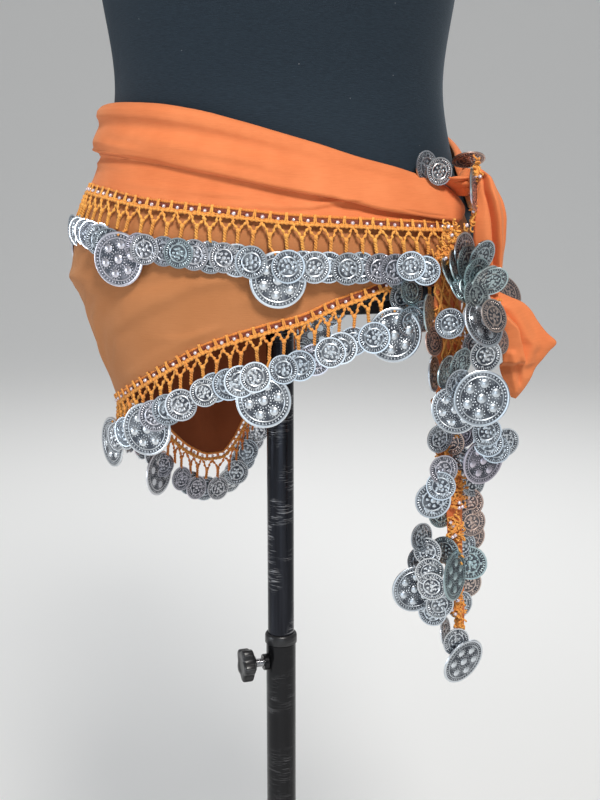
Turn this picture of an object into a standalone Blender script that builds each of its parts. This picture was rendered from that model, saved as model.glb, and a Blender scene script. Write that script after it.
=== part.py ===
"""A belly dance hip scarf, tied at the wearer's left hip, on a limbless dress form with a telescopic stand.

Metres, +Z up. The wearer's front faces -Y and the wearer's left is +X.
The origin is on the floor, on the axis of the stand.

A place on the scarf is given by its turn (degrees from the front, positive to the wearer's left), its
height above the floor and its offset (how far it stands out from the surface of the dress form).
The scarf is one square cloth, folded corner to corner: the outer leaf is the short flap, the inner leaf
is the long layer, and both run from the front of the knot, round the wearer's right side and the back,
to the rear of the knot.
"""

import math

import bmesh
import bpy
import numpy as np
from mathutils import Matrix, Vector

# ---- dress form and stand -------------------------------------------------------------------------
FORM_BOTTOM = 0.895
SHOULDER_HEIGHT = 1.350
FORM_POWER = 2.15  # 2 is an ellipse, more is squarer
FORM_SEGMENTS = 48
# height, half width, half depth, how far the section stands forward
FORM_SECTIONS = (
    (0.895, 0.1650, 0.1190, 0.000),
    (0.925, 0.1620, 0.1200, 0.000),
    (0.960, 0.1500, 0.1140, 0.000),
    (1.000, 0.1355, 0.1030, 0.000),
    (1.050, 0.1285, 0.0960, 0.001),
    (1.115, 0.1360, 0.1020, 0.006),
    (1.200, 0.1500, 0.1190, 0.014),
    (1.290, 0.1560, 0.1060, 0.006),
    (1.350, 0.1620, 0.0850, -0.004),
    (1.385, 0.1480, 0.0700, -0.008),
    (1.412, 0.1020, 0.0600, -0.008),
    (1.432, 0.0640, 0.0560, -0.008),
    (1.475, 0.0560, 0.0560, -0.006),
)
FORM_LIP = 0.004  # rounding of the lower edge
NECK_CAP_HEIGHT = 0.014
NECK_CAP_BEVEL = 0.004
NECK_CAP_OVERHANG = 0.002
BOTTOM_BOARD_THICKNESS = 0.010
BOTTOM_BOARD_INSET = 0.014
FLANGE_RADIUS = 0.032
FLANGE_THICKNESS = 0.004

BASE_RADIUS = 0.175
BASE_THICKNESS = 0.006
BASE_BEVEL = 0.002
FOOT_RING_RADIUS = 0.030
FOOT_RING_HEIGHT = 0.014
TUBE_SEGMENTS = 32
LOWER_TUBE_RADIUS = 0.0128
LOWER_TUBE_BORE = 0.0118
LOWER_TUBE_TOP = 0.581
COLLAR_RADIUS = 0.0138
COLLAR_HEIGHT = 0.009
UPPER_TUBE_RADIUS = 0.0113
UPPER_TUBE_BOTTOM = 0.368

CLAMP_HEIGHT = 0.564
CLAMP_TURN = -72.0  # the knob points to the wearer's right, a little forward
BOSS_RADIUS = 0.0070
BOSS_REACH = 0.0165  # from the stand's axis to the boss's outer face
SCREW_RADIUS = 0.0038
SCREW_START = 0.0122
SCREW_END = 0.0235
KNOB_RADIUS = 0.0150
KNOB_THICKNESS = 0.0125
KNOB_LOBES = 5
KNOB_LOBE_DEPTH = 0.0030
# share of the knob's thickness, share of its outline
KNOB_PROFILE = ((0.00, 0.62), (0.18, 0.86), (0.28, 1.00), (0.87, 1.00), (1.00, 0.88))

# ---- scarf ----------------------------------------------------------------------------------------
CLOTH = 0.0012  # wall of the cloth
GAP = 0.0004  # between pieces at a seam
FRONT_START, FRONT_END = 60.5, -97.0
BACK_START, BACK_END = -97.25, -285.0
FRINGE_START = 49.0  # the front fringes end beside the hanging tails
FRINGE_END = -278.0
LONG_OFFSET = 0.0026
TURN_IN_ABOVE, TURN_IN_LENGTH = 0.012, 0.020  # where the cloth leaves the form's lower edge
TOP_TURNOVER = 0.0130  # how far the turned-over top reaches down behind the flap
ROLL_OFFSET, ROLL_DROP_BEHIND, ROLL_DROP_FRONT = 0.0040, 0.0040, 0.0015  # the rounded fold at the top
FRINGE_WALL = 0.0030
FRINGE_REACH = 0.0460  # crochet and coins, below the cloth's edge
UPPER_FRINGE_OUT = 0.0085  # offset of the upper fringe, clear of the long layer
LOWER_FRINGE_OUT = 0.0040  # offset of the lower fringe, clear of the dress form
MEDALLION_RADIUS = 0.0195
MEDALLION_THICKNESS = 0.0014
UPPER_MEDALLION_OUT = 0.0145
LOWER_MEDALLION_OUT = 0.0100

# turn, height: the rolled top edge of the scarf
TOP_EDGE = (
    (66, 0.984), (46, 0.991), (28, 1.000), (1, 1.015), (-15, 1.024), (-30, 1.031), (-45, 1.034),
    (-63, 1.035), (-85, 1.033), (-120, 1.034), (-150, 1.035), (-180, 1.034), (-210, 1.030),
    (-240, 1.022), (-265, 1.006), (-285, 0.990),
)
# turn, height: the edge of the short flap, where its crochet starts
FLAP_EDGE = (
    (66, 0.939), (50, 0.942), (34, 0.946), (15, 0.950), (-4, 0.954), (-24, 0.959), (-41, 0.964),
    (-52, 0.968), (-72, 0.973), (-95, 0.968), (-120, 0.957), (-150, 0.944), (-180, 0.936),
    (-210, 0.939), (-240, 0.950), (-265, 0.956), (-285, 0.961),
)
# turn, height: the edge of the long layer, with the cloth's corner at the back
LONG_EDGE = (
    (66, 0.927), (53, 0.919), (42, 0.907), (37, 0.902), (19, 0.893), (1, 0.883), (-18, 0.870),
    (-38, 0.848), (-66, 0.813), (-90, 0.794), (-112, 0.770), (-130, 0.744), (-151, 0.718),
    (-160, 0.745), (-170, 0.785), (-186, 0.850), (-202, 0.890), (-225, 0.914), (-250, 0.932),
    (-285, 0.956),
)
# share of the way from the top edge to the flap's edge, offset from the form
FLAP_PROFILE = (
    (0.00, 0.0062), (0.10, 0.0085), (0.22, 0.0068), (0.38, 0.0095), (0.52, 0.0105),
    (0.64, 0.0062), (0.80, 0.0068), (1.00, 0.0092),
)
# height, half width, half depth: the hanging pouch below the form, which narrows to the corner
POUCH_SECTIONS = (
    (0.660, 0.0900, 0.1150),
    (0.740, 0.1080, 0.1190),
    (0.800, 0.1320, 0.1210),
    (0.855, 0.1500, 0.1215),
    (0.880, 0.1590, 0.1220),
    (0.900, 0.1680, 0.1225),
)
# fringe, turn, height of the centre: the large coins
MEDALLIONS = (
    ("upper", -49, 0.922), ("upper", 1, 0.909), ("upper", -103, 0.918), ("upper", -157, 0.898),
    ("upper", -211, 0.896), ("upper", -255, 0.910),
    ("lower", -44, 0.794), ("lower", -3, 0.822), ("lower", 39, 0.863), ("lower", -76, 0.768),
    ("lower", -119, 0.716), ("lower", -192, 0.830), ("lower", -226, 0.868),
)

# x, y, z of the middle, width, bow of the section: the cloth ends that hang from the knot
TAIL_LOOP = (
    (0.1550, -0.0905, 0.9830, 0.013, 0.0030), (0.1580, -0.0920, 0.9600, 0.023, 0.0065),
    (0.1590, -0.0925, 0.9340, 0.024, 0.0075), (0.1610, -0.0915, 0.9080, 0.019, 0.0060),
    (0.1640, -0.0900, 0.8930, 0.011, 0.0030),
)
TAIL_FAN = (
    (0.1660, -0.0830, 0.8900, 0.012, 0.0030), (0.1780, -0.0820, 0.8720, 0.036, 0.0060),
    (0.1900, -0.0800, 0.8520, 0.050, 0.0075), (0.1890, -0.0800, 0.8320, 0.036, 0.0060),
    (0.1860, -0.0800, 0.8110, 0.012, 0.0025),
)
TAIL_LONG = (
    (0.1264, -0.1050, 0.9310, 0.018, 0.0030), (0.1278, -0.1050, 0.9070, 0.020, 0.0040),
    (0.1295, -0.1020, 0.8700, 0.020, 0.0040), (0.1310, -0.0990, 0.8300, 0.016, 0.0035),
    (0.1320, -0.0970, 0.7800, 0.014, 0.0030), (0.1378, -0.0960, 0.7370, 0.013, 0.0030),
    (0.1407, -0.0950, 0.6890, 0.013, 0.0030), (0.1445, -0.0950, 0.6500, 0.010, 0.0020),
    (0.1465, -0.0950, 0.6250, 0.007, 0.0010),
)
TAIL_LOOP_YAW, TAIL_FAN_YAW, TAIL_LONG_YAW = 12.0, 8.0, 35.0  # how far each faces round to the left
# x, y, z, half width, half depth: the reach of the coins that hang in bunches on those ends
COINS_LOOP = (
    (0.1400, -0.1260, 0.9460, 0.012, 0.006), (0.1410, -0.1280, 0.9250, 0.026, 0.010),
    (0.1410, -0.1280, 0.8950, 0.026, 0.010), (0.1430, -0.1260, 0.8600, 0.031, 0.011),
    (0.1460, -0.1240, 0.8200, 0.033, 0.010), (0.1530, -0.1200, 0.7850, 0.027, 0.010),
    (0.1560, -0.1160, 0.7600, 0.012, 0.006),
)
COINS_LONG_LEFT = (
    (0.1170, -0.1170, 0.7780, 0.006, 0.005), (0.1190, -0.1160, 0.7450, 0.010, 0.008),
    (0.1190, -0.1140, 0.7100, 0.011, 0.008), (0.1180, -0.1120, 0.6700, 0.015, 0.008),
    (0.1290, -0.1120, 0.6350, 0.012, 0.008), (0.1420, -0.1120, 0.6050, 0.012, 0.006),
    (0.1460, -0.1110, 0.5850, 0.007, 0.004),
)
COINS_LONG_RIGHT = (
    (0.1540, -0.0860, 0.7450, 0.006, 0.005), (0.1545, -0.0860, 0.7200, 0.009, 0.007),
    (0.1545, -0.0860, 0.6850, 0.009, 0.007), (0.1535, -0.0860, 0.6550, 0.005, 0.005),
)

KNOT_CENTRE = (0.1440, -0.0725, 0.9720)
KNOT_RADII = (0.0095, 0.0105, 0.0170)
KNOT_END_TILT = 72.0  # degrees, where the rounded ends of the core are cut flat


# ---- shared geometry ------------------------------------------------------------------------------
def smooth_rows(rows, at):
    """Reads the columns of a table at places between its rows, on curves that never overshoot a row."""
    table = np.array(sorted(rows), float)
    knots, values = table[:, 0], table[:, 1:]
    steps = np.diff(knots)[:, None]
    slopes = np.diff(values, axis=0) / steps
    tangents = np.empty_like(values)
    tangents[0], tangents[-1] = slopes[0], slopes[-1]
    before, after = slopes[:-1], slopes[1:]
    same_way = before * after > 0
    tangents[1:-1] = np.where(same_way, 2 * before * after / np.where(same_way, before + after, 1), 0)
    at = np.clip(np.asarray(at, float), knots[0], knots[-1])
    row = np.clip(np.searchsorted(knots, at, side="right") - 1, 0, len(knots) - 2)
    width = np.diff(knots)[row][..., None]
    t = ((at - knots[row])[..., None]) / width
    rise = t * t * (3 - 2 * t)
    return (
        values[row] * (1 - rise) + values[row + 1] * rise
        + tangents[row] * width * t * (1 - t) ** 2 - tangents[row + 1] * width * t * t * (1 - t)
    )


def girth_point(turn, height, offset=0.0, sections=FORM_SECTIONS):
    """The point at a turn and a height, standing out from the sections by the offset."""
    sizes = smooth_rows(sections, height)
    half_width, half_depth = sizes[..., 0] + offset, sizes[..., 1] + offset
    forward = sizes[..., 2] if sizes.shape[-1] > 2 else 0.0
    angle = np.radians(turn)
    across, ahead = np.abs(np.sin(angle)) / half_width, np.abs(np.cos(angle)) / half_depth
    reach = (across**FORM_POWER + ahead**FORM_POWER) ** (-1 / FORM_POWER)
    return np.stack(
        [reach * np.sin(angle), -reach * np.cos(angle) - forward, np.broadcast_to(height, np.shape(reach))],
        axis=-1,
    )


def scarf_point(turn, height, offset):
    """As girth_point, on the form above its lower edge and on the hanging pouch below it."""
    height = np.asarray(height, float)
    on_form = girth_point(turn, np.maximum(height, FORM_BOTTOM), offset)
    in_pouch = girth_point(turn, height, offset - LONG_OFFSET, POUCH_SECTIONS)
    share = np.clip((FORM_BOTTOM + TURN_IN_ABOVE - height) / TURN_IN_LENGTH, 0, 1)[..., None]
    share = share * share * (3 - 2 * share)
    point = on_form * (1 - share) + in_pouch * share
    point[..., 2] = height
    return point


def edge_height(rows, turn):
    return smooth_rows(rows, turn)[..., 0]


def plumb_point(turn, edge, drop, offset):
    """A point of something that hangs from an edge: straight down, or on the surface where that is wider."""
    start = scarf_point(turn, edge, offset)
    below = scarf_point(turn, edge - drop, offset)
    start_reach = np.hypot(start[..., 0], start[..., 1])
    reach = np.hypot(below[..., 0], below[..., 1])
    grow = (np.maximum(start_reach, reach) / reach)[..., None]
    return below * np.concatenate([grow, grow, np.ones_like(grow)], axis=-1)


def material(name, colour, roughness, metallic=0.0):
    made = bpy.data.materials.new(name)
    made.use_nodes = True
    shader = made.node_tree.nodes["Principled BSDF"]
    shader.inputs["Base Color"].default_value = (*colour, 1.0)
    shader.inputs["Roughness"].default_value = roughness
    shader.inputs["Metallic"].default_value = metallic
    return made


def add_mesh(name, points, faces, look, smooth=True):
    mesh = bpy.data.meshes.new(name)
    mesh.from_pydata([tuple(p) for p in points], [], faces)
    mesh.materials.append(look)
    tidy = bmesh.new()
    tidy.from_mesh(mesh)
    bmesh.ops.recalc_face_normals(tidy, faces=tidy.faces)
    tidy.to_mesh(mesh)
    tidy.free()
    if smooth:
        mesh.shade_smooth()
        mesh.set_sharp_from_angle(angle=math.radians(35))
    made = bpy.data.objects.new(name, mesh)
    bpy.context.scene.collection.objects.link(made)
    return made


def grid_faces(rows, columns, around=False):
    """Quads over a grid of points; around joins the last column to the first."""
    faces = []
    for row in range(rows - 1):
        for column in range(columns if around else columns - 1):
            following = (column + 1) % columns
            faces.append((
                row * columns + column, row * columns + following,
                (row + 1) * columns + following, (row + 1) * columns + column,
            ))
    return faces


def add_lathe_like(name, rings, look):
    """A closed solid through rings of points, capped at both ends."""
    rings = np.asarray(rings)
    count, around = rings.shape[:2]
    faces = grid_faces(count, around, around=True)
    faces.append(tuple(range(around)))
    faces.append(tuple((count - 1) * around + i for i in reversed(range(around))))
    return add_mesh(name, rings.reshape(-1, 3), faces, look)


def add_wall(name, grid, thickness, look):
    """A wall of cloth, centred on a grid of points."""
    rows, columns = grid.shape[:2]
    made = add_mesh(name, grid.reshape(-1, 3), grid_faces(rows, columns), look)
    wall = made.modifiers.new("wall", "SOLIDIFY")
    wall.thickness = thickness
    wall.offset = 0.0
    wall.use_even_offset = True
    return made


def add_cylinder(name, radius, start, end, look, bore=0.0, segments=TUBE_SEGMENTS, bevel=0.0):
    """A round bar between two points, or a tube where there is a bore."""
    start, end = Vector(start), Vector(end)
    turn = (end - start).to_track_quat("Z", "Y").to_matrix().to_4x4()
    angles = np.arange(segments) * 2 * math.pi / segments
    circle = np.stack([np.cos(angles), np.sin(angles)], axis=1)
    length = (end - start).length
    if bore:
        loop = ((bore, 0.0), (radius, 0.0), (radius, length), (bore, length))
    else:
        loop = ((radius, 0.0), (radius, length))
    if bevel:
        top = length - bevel
        loop = ((radius - bevel, 0.0), (radius, bevel), (radius, top), (radius - bevel, length))
    rings = np.array([[(c * r, s * r, z) for c, s in circle] for r, z in loop])
    if bore:
        faces = grid_faces(4, segments, around=True)
        faces += [
            (3 * segments + i, 3 * segments + (i + 1) % segments, (i + 1) % segments, i)
            for i in range(segments)
        ]
        made = add_mesh(name, rings.reshape(-1, 3), faces, look)
    else:
        made = add_lathe_like(name, rings, look)
    made.matrix_world = Matrix.Translation(start) @ turn
    return made


# ---- looks ----------------------------------------------------------------------------------------
def make_looks():
    return {
        "jersey": material("jersey", (0.018, 0.024, 0.030), 0.85),
        "black_plastic": material("black_plastic", (0.012, 0.012, 0.013), 0.45),
        "chrome": material("chrome", (0.55, 0.55, 0.56), 0.18, 1.0),
        "worn_tube": material("worn_tube", (0.10, 0.10, 0.11), 0.30, 1.0),
        "black_steel": material("black_steel", (0.02, 0.02, 0.022), 0.40, 0.6),
        "cloth": material("orange_cloth", (0.82, 0.22, 0.07), 0.75),
        "fringe": material("crochet_and_coins", (0.72, 0.38, 0.12), 0.60),
        "coin": material("coin_metal", (0.45, 0.44, 0.45), 0.30, 1.0),
    }


# ---- dress form -----------------------------------------------------------------------------------
def full_turns(segments):
    return np.arange(segments) * 360.0 / segments


def make_dress_form(looks):
    body = np.linspace(FORM_BOTTOM + FORM_LIP, SHOULDER_HEIGHT, 16)
    neck = np.linspace(SHOULDER_HEIGHT, FORM_SECTIONS[-1][0], 10)[1:]
    heights = np.concatenate([body, neck])
    turns = full_turns(FORM_SEGMENTS)
    rings = [girth_point(turns, np.full(FORM_SEGMENTS, h)) for h in heights]
    lip_rows = ((-FORM_LIP, -2 * FORM_LIP), (0.0, -0.4 * FORM_LIP))
    lip = [girth_point(turns, np.full(FORM_SEGMENTS, FORM_BOTTOM), inset) for _, inset in lip_rows]
    for ring, (rise, _) in zip(lip, lip_rows):
        ring[:, 2] += rise
    add_lathe_like("form_torso", [*lip, *rings], looks["jersey"])

    neck_top = FORM_SECTIONS[-1][0]
    cap_base = neck_top + GAP
    cap_rows = (
        (0.0, NECK_CAP_OVERHANG), (NECK_CAP_HEIGHT - NECK_CAP_BEVEL, NECK_CAP_OVERHANG),
        (NECK_CAP_HEIGHT, -NECK_CAP_BEVEL),
    )
    cap = [girth_point(turns, np.full(FORM_SEGMENTS, neck_top), out) for _, out in cap_rows]
    for ring, (rise, _) in zip(cap, cap_rows):
        ring[:, 2] = cap_base + rise
    add_lathe_like("form_neck_cap", cap, looks["black_plastic"])

    board_top = FORM_BOTTOM - FORM_LIP - GAP
    board = []
    for height in (board_top - BOTTOM_BOARD_THICKNESS, board_top):
        ring = girth_point(turns, np.full(FORM_SEGMENTS, FORM_BOTTOM), -BOTTOM_BOARD_INSET)
        ring[:, 2] = height
        board.append(ring)
    add_lathe_like("form_bottom_board", board, looks["black_plastic"])
    flange_top = board_top - BOTTOM_BOARD_THICKNESS - GAP
    flange_base = flange_top - FLANGE_THICKNESS
    add_cylinder("form_flange", FLANGE_RADIUS, (0, 0, flange_base), (0, 0, flange_top), looks["chrome"])
    return flange_base


# ---- stand ----------------------------------------------------------------------------------------
def make_stand(looks, flange_base):
    add_cylinder(
        "base_plate", BASE_RADIUS, (0, 0, 0), (0, 0, BASE_THICKNESS), looks["black_steel"],
        segments=64, bevel=BASE_BEVEL,
    )
    foot_base = BASE_THICKNESS + GAP
    add_cylinder(
        "foot_ring", FOOT_RING_RADIUS, (0, 0, foot_base), (0, 0, foot_base + FOOT_RING_HEIGHT),
        looks["black_steel"], bore=LOWER_TUBE_RADIUS + GAP,
    )
    tube = add_cylinder(
        "lower_tube", LOWER_TUBE_RADIUS, (0, 0, foot_base), (0, 0, LOWER_TUBE_TOP), looks["chrome"],
        bore=LOWER_TUBE_BORE,
    )
    collar_base = LOWER_TUBE_TOP + GAP
    add_cylinder(
        "tube_collar", COLLAR_RADIUS, (0, 0, collar_base), (0, 0, collar_base + COLLAR_HEIGHT),
        looks["black_plastic"], bore=LOWER_TUBE_BORE,
    )
    add_cylinder(
        "upper_tube", UPPER_TUBE_RADIUS, (0, 0, UPPER_TUBE_BOTTOM), (0, 0, flange_base - GAP),
        looks["worn_tube"],
    )
    make_clamp(looks, tube)


def clamp_point(reach):
    angle = math.radians(CLAMP_TURN)
    return Vector((reach * math.sin(angle), -reach * math.cos(angle), CLAMP_HEIGHT))


def make_clamp(looks, tube):
    """The screw that locks the height: a boss on the lower tube, a threaded pin and a lobed knob."""
    boss = add_cylinder(
        "clamp_boss", BOSS_RADIUS, clamp_point(LOWER_TUBE_BORE - SCREW_RADIUS), clamp_point(BOSS_REACH),
        looks["chrome"], bore=SCREW_RADIUS + GAP, segments=24,
    )
    below = (0, 0, CLAMP_HEIGHT - 2 * BOSS_RADIUS)
    above = (0, 0, CLAMP_HEIGHT + 2 * BOSS_RADIUS)
    keep_out = add_cylinder("tube_cutter", LOWER_TUBE_RADIUS + GAP, below, above, looks["chrome"])
    screw_hole = add_cylinder(
        "screw_cutter", SCREW_RADIUS + GAP, clamp_point(SCREW_RADIUS), clamp_point(BOSS_REACH),
        looks["chrome"], segments=24,
    )
    for target, cutter in ((boss, keep_out), (tube, screw_hole)):
        cut = target.modifiers.new("cut", "BOOLEAN")
        cut.operation = "DIFFERENCE"
        cut.object = cutter
        cutter.hide_render = True
        cutter.display_type = "WIRE"
    add_cylinder(
        "clamp_screw", SCREW_RADIUS, clamp_point(SCREW_START), clamp_point(SCREW_END), looks["chrome"],
        segments=16,
    )
    make_knob(looks)


def make_knob(looks):
    angles = np.arange(KNOB_LOBES * 10) * 2 * math.pi / (KNOB_LOBES * 10)
    outline = KNOB_RADIUS - KNOB_LOBE_DEPTH * (0.5 + 0.5 * np.cos(KNOB_LOBES * angles))
    rings = []
    for depth_share, width_share in KNOB_PROFILE:
        across, up = outline * width_share * np.cos(angles), outline * width_share * np.sin(angles)
        rings.append(np.stack([across, up, np.full(len(angles), depth_share * KNOB_THICKNESS)], axis=1))
    knob = add_lathe_like("clamp_knob", rings, looks["black_plastic"])
    start = clamp_point(SCREW_END + GAP)
    outward = (clamp_point(1.0) - clamp_point(0.0)).normalized()
    knob.matrix_world = Matrix.Translation(start) @ outward.to_track_quat("Z", "Y").to_matrix().to_4x4()


# ---- scarf ----------------------------------------------------------------------------------------
def turns_between(start, end, step=6.0):
    return np.linspace(start, end, max(2, round(abs(end - start) / step)) + 1)


def make_flap(looks, name, start, end):
    """The outer leaf, with the rolled fold at its top: down behind, over the top, and down in front."""
    turns = turns_between(start, end)
    top, edge = edge_height(TOP_EDGE, turns), edge_height(FLAP_EDGE, turns)
    rows = [
        scarf_point(turns, top - TOP_TURNOVER, LONG_OFFSET),
        scarf_point(turns, top - ROLL_DROP_BEHIND, LONG_OFFSET),
        scarf_point(turns, top, ROLL_OFFSET),
    ]
    start = top - ROLL_DROP_FRONT
    rows += [scarf_point(turns, start + share * (edge - start), offset) for share, offset in FLAP_PROFILE]
    add_wall(name, np.array(rows), CLOTH, looks["cloth"])


def make_long_layer(looks, name, start, end):
    """The inner leaf, from under the turned-over top, round the form's lower corner, to its own edge."""
    turns = turns_between(start, end)
    top = edge_height(TOP_EDGE, turns) - TOP_TURNOVER - GAP - CLOTH * 0.6
    edge = edge_height(LONG_EDGE, turns)
    corner = np.maximum(edge + 0.006, FORM_BOTTOM - 0.002)
    heights = [top + (corner - top) * i / 7 for i in range(8)]
    heights += [corner + (edge - corner) * i / 4 for i in range(1, 5)]
    add_wall(name, np.array([scarf_point(turns, h, LONG_OFFSET) for h in heights]), CLOTH, looks["cloth"])


def make_fringe(looks, name, edge_rows, start, end, offset):
    """A plain wall of the fringe's reach, hanging plumb from the cloth's edge."""
    turns = turns_between(start, end)
    edge = edge_height(edge_rows, turns) - GAP - CLOTH
    rows = [plumb_point(turns, edge, share * FRINGE_REACH, offset) for share in (0.0, 0.35, 0.7, 1.0)]
    add_wall(name, np.array(rows), FRINGE_WALL, looks["fringe"])


def make_medallions(looks):
    """The large coins, each a disc that hangs flat against the outside of its fringe."""
    for number, (fringe, turn, height) in enumerate(MEDALLIONS, 1):
        upper = fringe == "upper"
        edge = edge_height(FLAP_EDGE if upper else LONG_EDGE, turn)
        out = UPPER_MEDALLION_OUT if upper else LOWER_MEDALLION_OUT
        near = [(turn, 0.0), (turn + 2.0, 0.0), (turn - 2.0, 0.0), (turn, -0.01), (turn, 0.01)]
        places = [Vector(plumb_point(t, edge, edge - height + drop, out)) for t, drop in near]
        outward = (places[1] - places[2]).cross(places[3] - places[4]).normalized()
        half = outward * MEDALLION_THICKNESS / 2
        add_cylinder(
            f"medallion_{fringe}_{number}", MEDALLION_RADIUS, places[0] - half, places[0] + half,
            looks["coin"], segments=24,
        )


def bowed_strip(rows, count, yaw, columns=7):
    """A grid over a hanging strip, whose section bows outwards between its two edges."""
    table = [(i, *row) for i, row in enumerate(rows)]
    along = np.array([math.cos(math.radians(yaw)), math.sin(math.radians(yaw)), 0.0])
    outward = np.array([along[1], -along[0], 0.0])
    across = np.linspace(-0.5, 0.5, columns)
    fall = 1 - (2 * across) ** 2
    grid = []
    for place in np.linspace(0, len(rows) - 1, count):
        x, y, z, width, bow = smooth_rows(table, place)
        grid.append(np.array([x, y, z]) + np.outer(across * width, along) + np.outer(bow * fall, outward))
    return np.array(grid)


def make_bunch(looks, name, rows, count=9, around=12):
    """A closed solid of the reach of a bunch of coins: an ellipse carried down its rows."""
    table = [(i, *row) for i, row in enumerate(rows)]
    angles = np.arange(around) * 2 * math.pi / around
    rings = []
    for place in np.linspace(0, len(rows) - 1, count):
        x, y, z, half_width, half_depth = smooth_rows(table, place)
        ring = [x + half_width * np.cos(angles), y + half_depth * np.sin(angles), np.full(around, z)]
        rings.append(np.stack(ring, axis=1))
    add_lathe_like(name, rings, looks["fringe"])


def make_knot(looks):
    """The core that the ends pass through."""
    x, y, z = KNOT_CENTRE
    angles = np.radians(full_turns(20))
    rings = []
    for tilt in np.radians(np.linspace(-KNOT_END_TILT, KNOT_END_TILT, 9)):
        across = x + KNOT_RADII[0] * math.cos(tilt) * np.cos(angles)
        ahead = y + KNOT_RADII[1] * math.cos(tilt) * np.sin(angles)
        height = np.full(len(angles), z + KNOT_RADII[2] * math.sin(tilt))
        rings.append(np.stack([across, ahead, height], axis=1))
    add_lathe_like("knot_core", rings, looks["cloth"])


def make_scarf(looks):
    make_flap(looks, "short_flap_front", FRONT_START, FRONT_END)
    make_flap(looks, "short_flap_back", BACK_START, BACK_END)
    make_long_layer(looks, "long_layer_front", FRONT_START, FRONT_END)
    make_long_layer(looks, "long_layer_back", BACK_START, BACK_END)
    make_fringe(looks, "fringe_upper_front", FLAP_EDGE, FRINGE_START, FRONT_END, UPPER_FRINGE_OUT)
    make_fringe(looks, "fringe_upper_back", FLAP_EDGE, BACK_START, FRINGE_END, UPPER_FRINGE_OUT)
    make_fringe(looks, "fringe_lower_front", LONG_EDGE, FRINGE_START, FRONT_END, LOWER_FRINGE_OUT)
    make_fringe(looks, "fringe_lower_back", LONG_EDGE, BACK_START, FRINGE_END, LOWER_FRINGE_OUT)
    make_medallions(looks)
    make_knot(looks)
    add_wall("tail_loop", bowed_strip(TAIL_LOOP, 9, TAIL_LOOP_YAW), CLOTH, looks["cloth"])
    add_wall("tail_fan", bowed_strip(TAIL_FAN, 9, TAIL_FAN_YAW), CLOTH, looks["cloth"])
    add_wall("tail_long", bowed_strip(TAIL_LONG, 15, TAIL_LONG_YAW), CLOTH, looks["cloth"])
    make_bunch(looks, "coin_bunch_loop", COINS_LOOP, count=13)
    make_bunch(looks, "coin_bunch_left", COINS_LONG_LEFT, count=15)
    make_bunch(looks, "coin_bunch_right", COINS_LONG_RIGHT)


def main():
    for old in list(bpy.data.objects):
        bpy.data.objects.remove(old)
    looks = make_looks()
    flange_base = make_dress_form(looks)
    make_stand(looks, flange_base)
    make_scarf(looks)


main()
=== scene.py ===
import math

import bpy
import numpy as np
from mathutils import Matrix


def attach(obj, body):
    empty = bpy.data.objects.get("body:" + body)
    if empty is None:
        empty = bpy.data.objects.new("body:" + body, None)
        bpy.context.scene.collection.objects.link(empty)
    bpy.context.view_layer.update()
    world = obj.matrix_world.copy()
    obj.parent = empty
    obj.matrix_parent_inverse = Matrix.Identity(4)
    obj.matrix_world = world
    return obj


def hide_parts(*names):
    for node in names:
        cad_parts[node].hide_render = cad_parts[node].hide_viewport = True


# belly dance hip scarf, wound round the hips of a limbless dress form on a telescopic stand
# metres; the floor is z = 0, the stand's axis is x = y = 0, the front faces -y
# a "turn" is the angle round the form in degrees: 0 is the front, 90 is +x, -180 is the back

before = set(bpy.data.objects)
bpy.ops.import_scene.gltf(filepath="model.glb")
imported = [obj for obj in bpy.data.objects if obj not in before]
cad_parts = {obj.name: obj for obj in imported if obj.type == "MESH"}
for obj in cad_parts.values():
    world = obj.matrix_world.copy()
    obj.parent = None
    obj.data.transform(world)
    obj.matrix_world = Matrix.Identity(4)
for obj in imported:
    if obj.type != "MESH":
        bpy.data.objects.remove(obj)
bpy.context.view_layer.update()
rng = np.random.default_rng(41)


# reading tables and placing points

def readTable(rows, at):
    # smooth curves through the rows of a table, never past a row: cubic pieces whose slope at each
    # row is the harmonic mean of the slopes on its two sides, or nought where those differ in sign
    table = np.array(sorted(rows), float)
    knots, values = table[:, 0], table[:, 1:]
    slopes = np.diff(values, axis=0) / np.diff(knots)[:, None]
    tangents = np.empty_like(values)
    tangents[0], tangents[-1] = slopes[0], slopes[-1]
    before, after = slopes[:-1], slopes[1:]
    sameWay = before * after > 0
    tangents[1:-1] = np.where(sameWay, 2 * before * after / np.where(sameWay, before + after, 1), 0)
    at = np.clip(np.asarray(at, float), knots[0], knots[-1])
    row = np.clip(np.searchsorted(knots, at, side="right") - 1, 0, len(knots) - 2)
    width = np.diff(knots)[row][..., None]
    t = (at - knots[row])[..., None] / width
    rise = t * t * (3 - 2 * t)
    return (values[row] * (1 - rise) + values[row + 1] * rise
            + tangents[row] * width * t * (1 - t) ** 2 - tangents[row + 1] * width * t * t * (1 - t))


def easeIn(t):
    # 0 below 0, 1 above 1, and 3t^2 - 2t^3 between
    t = np.clip(t, 0, 1)
    return t * t * (3 - 2 * t)


def unit(v):
    return v / np.maximum(np.linalg.norm(v, axis=-1, keepdims=True), 1e-9)


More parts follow.
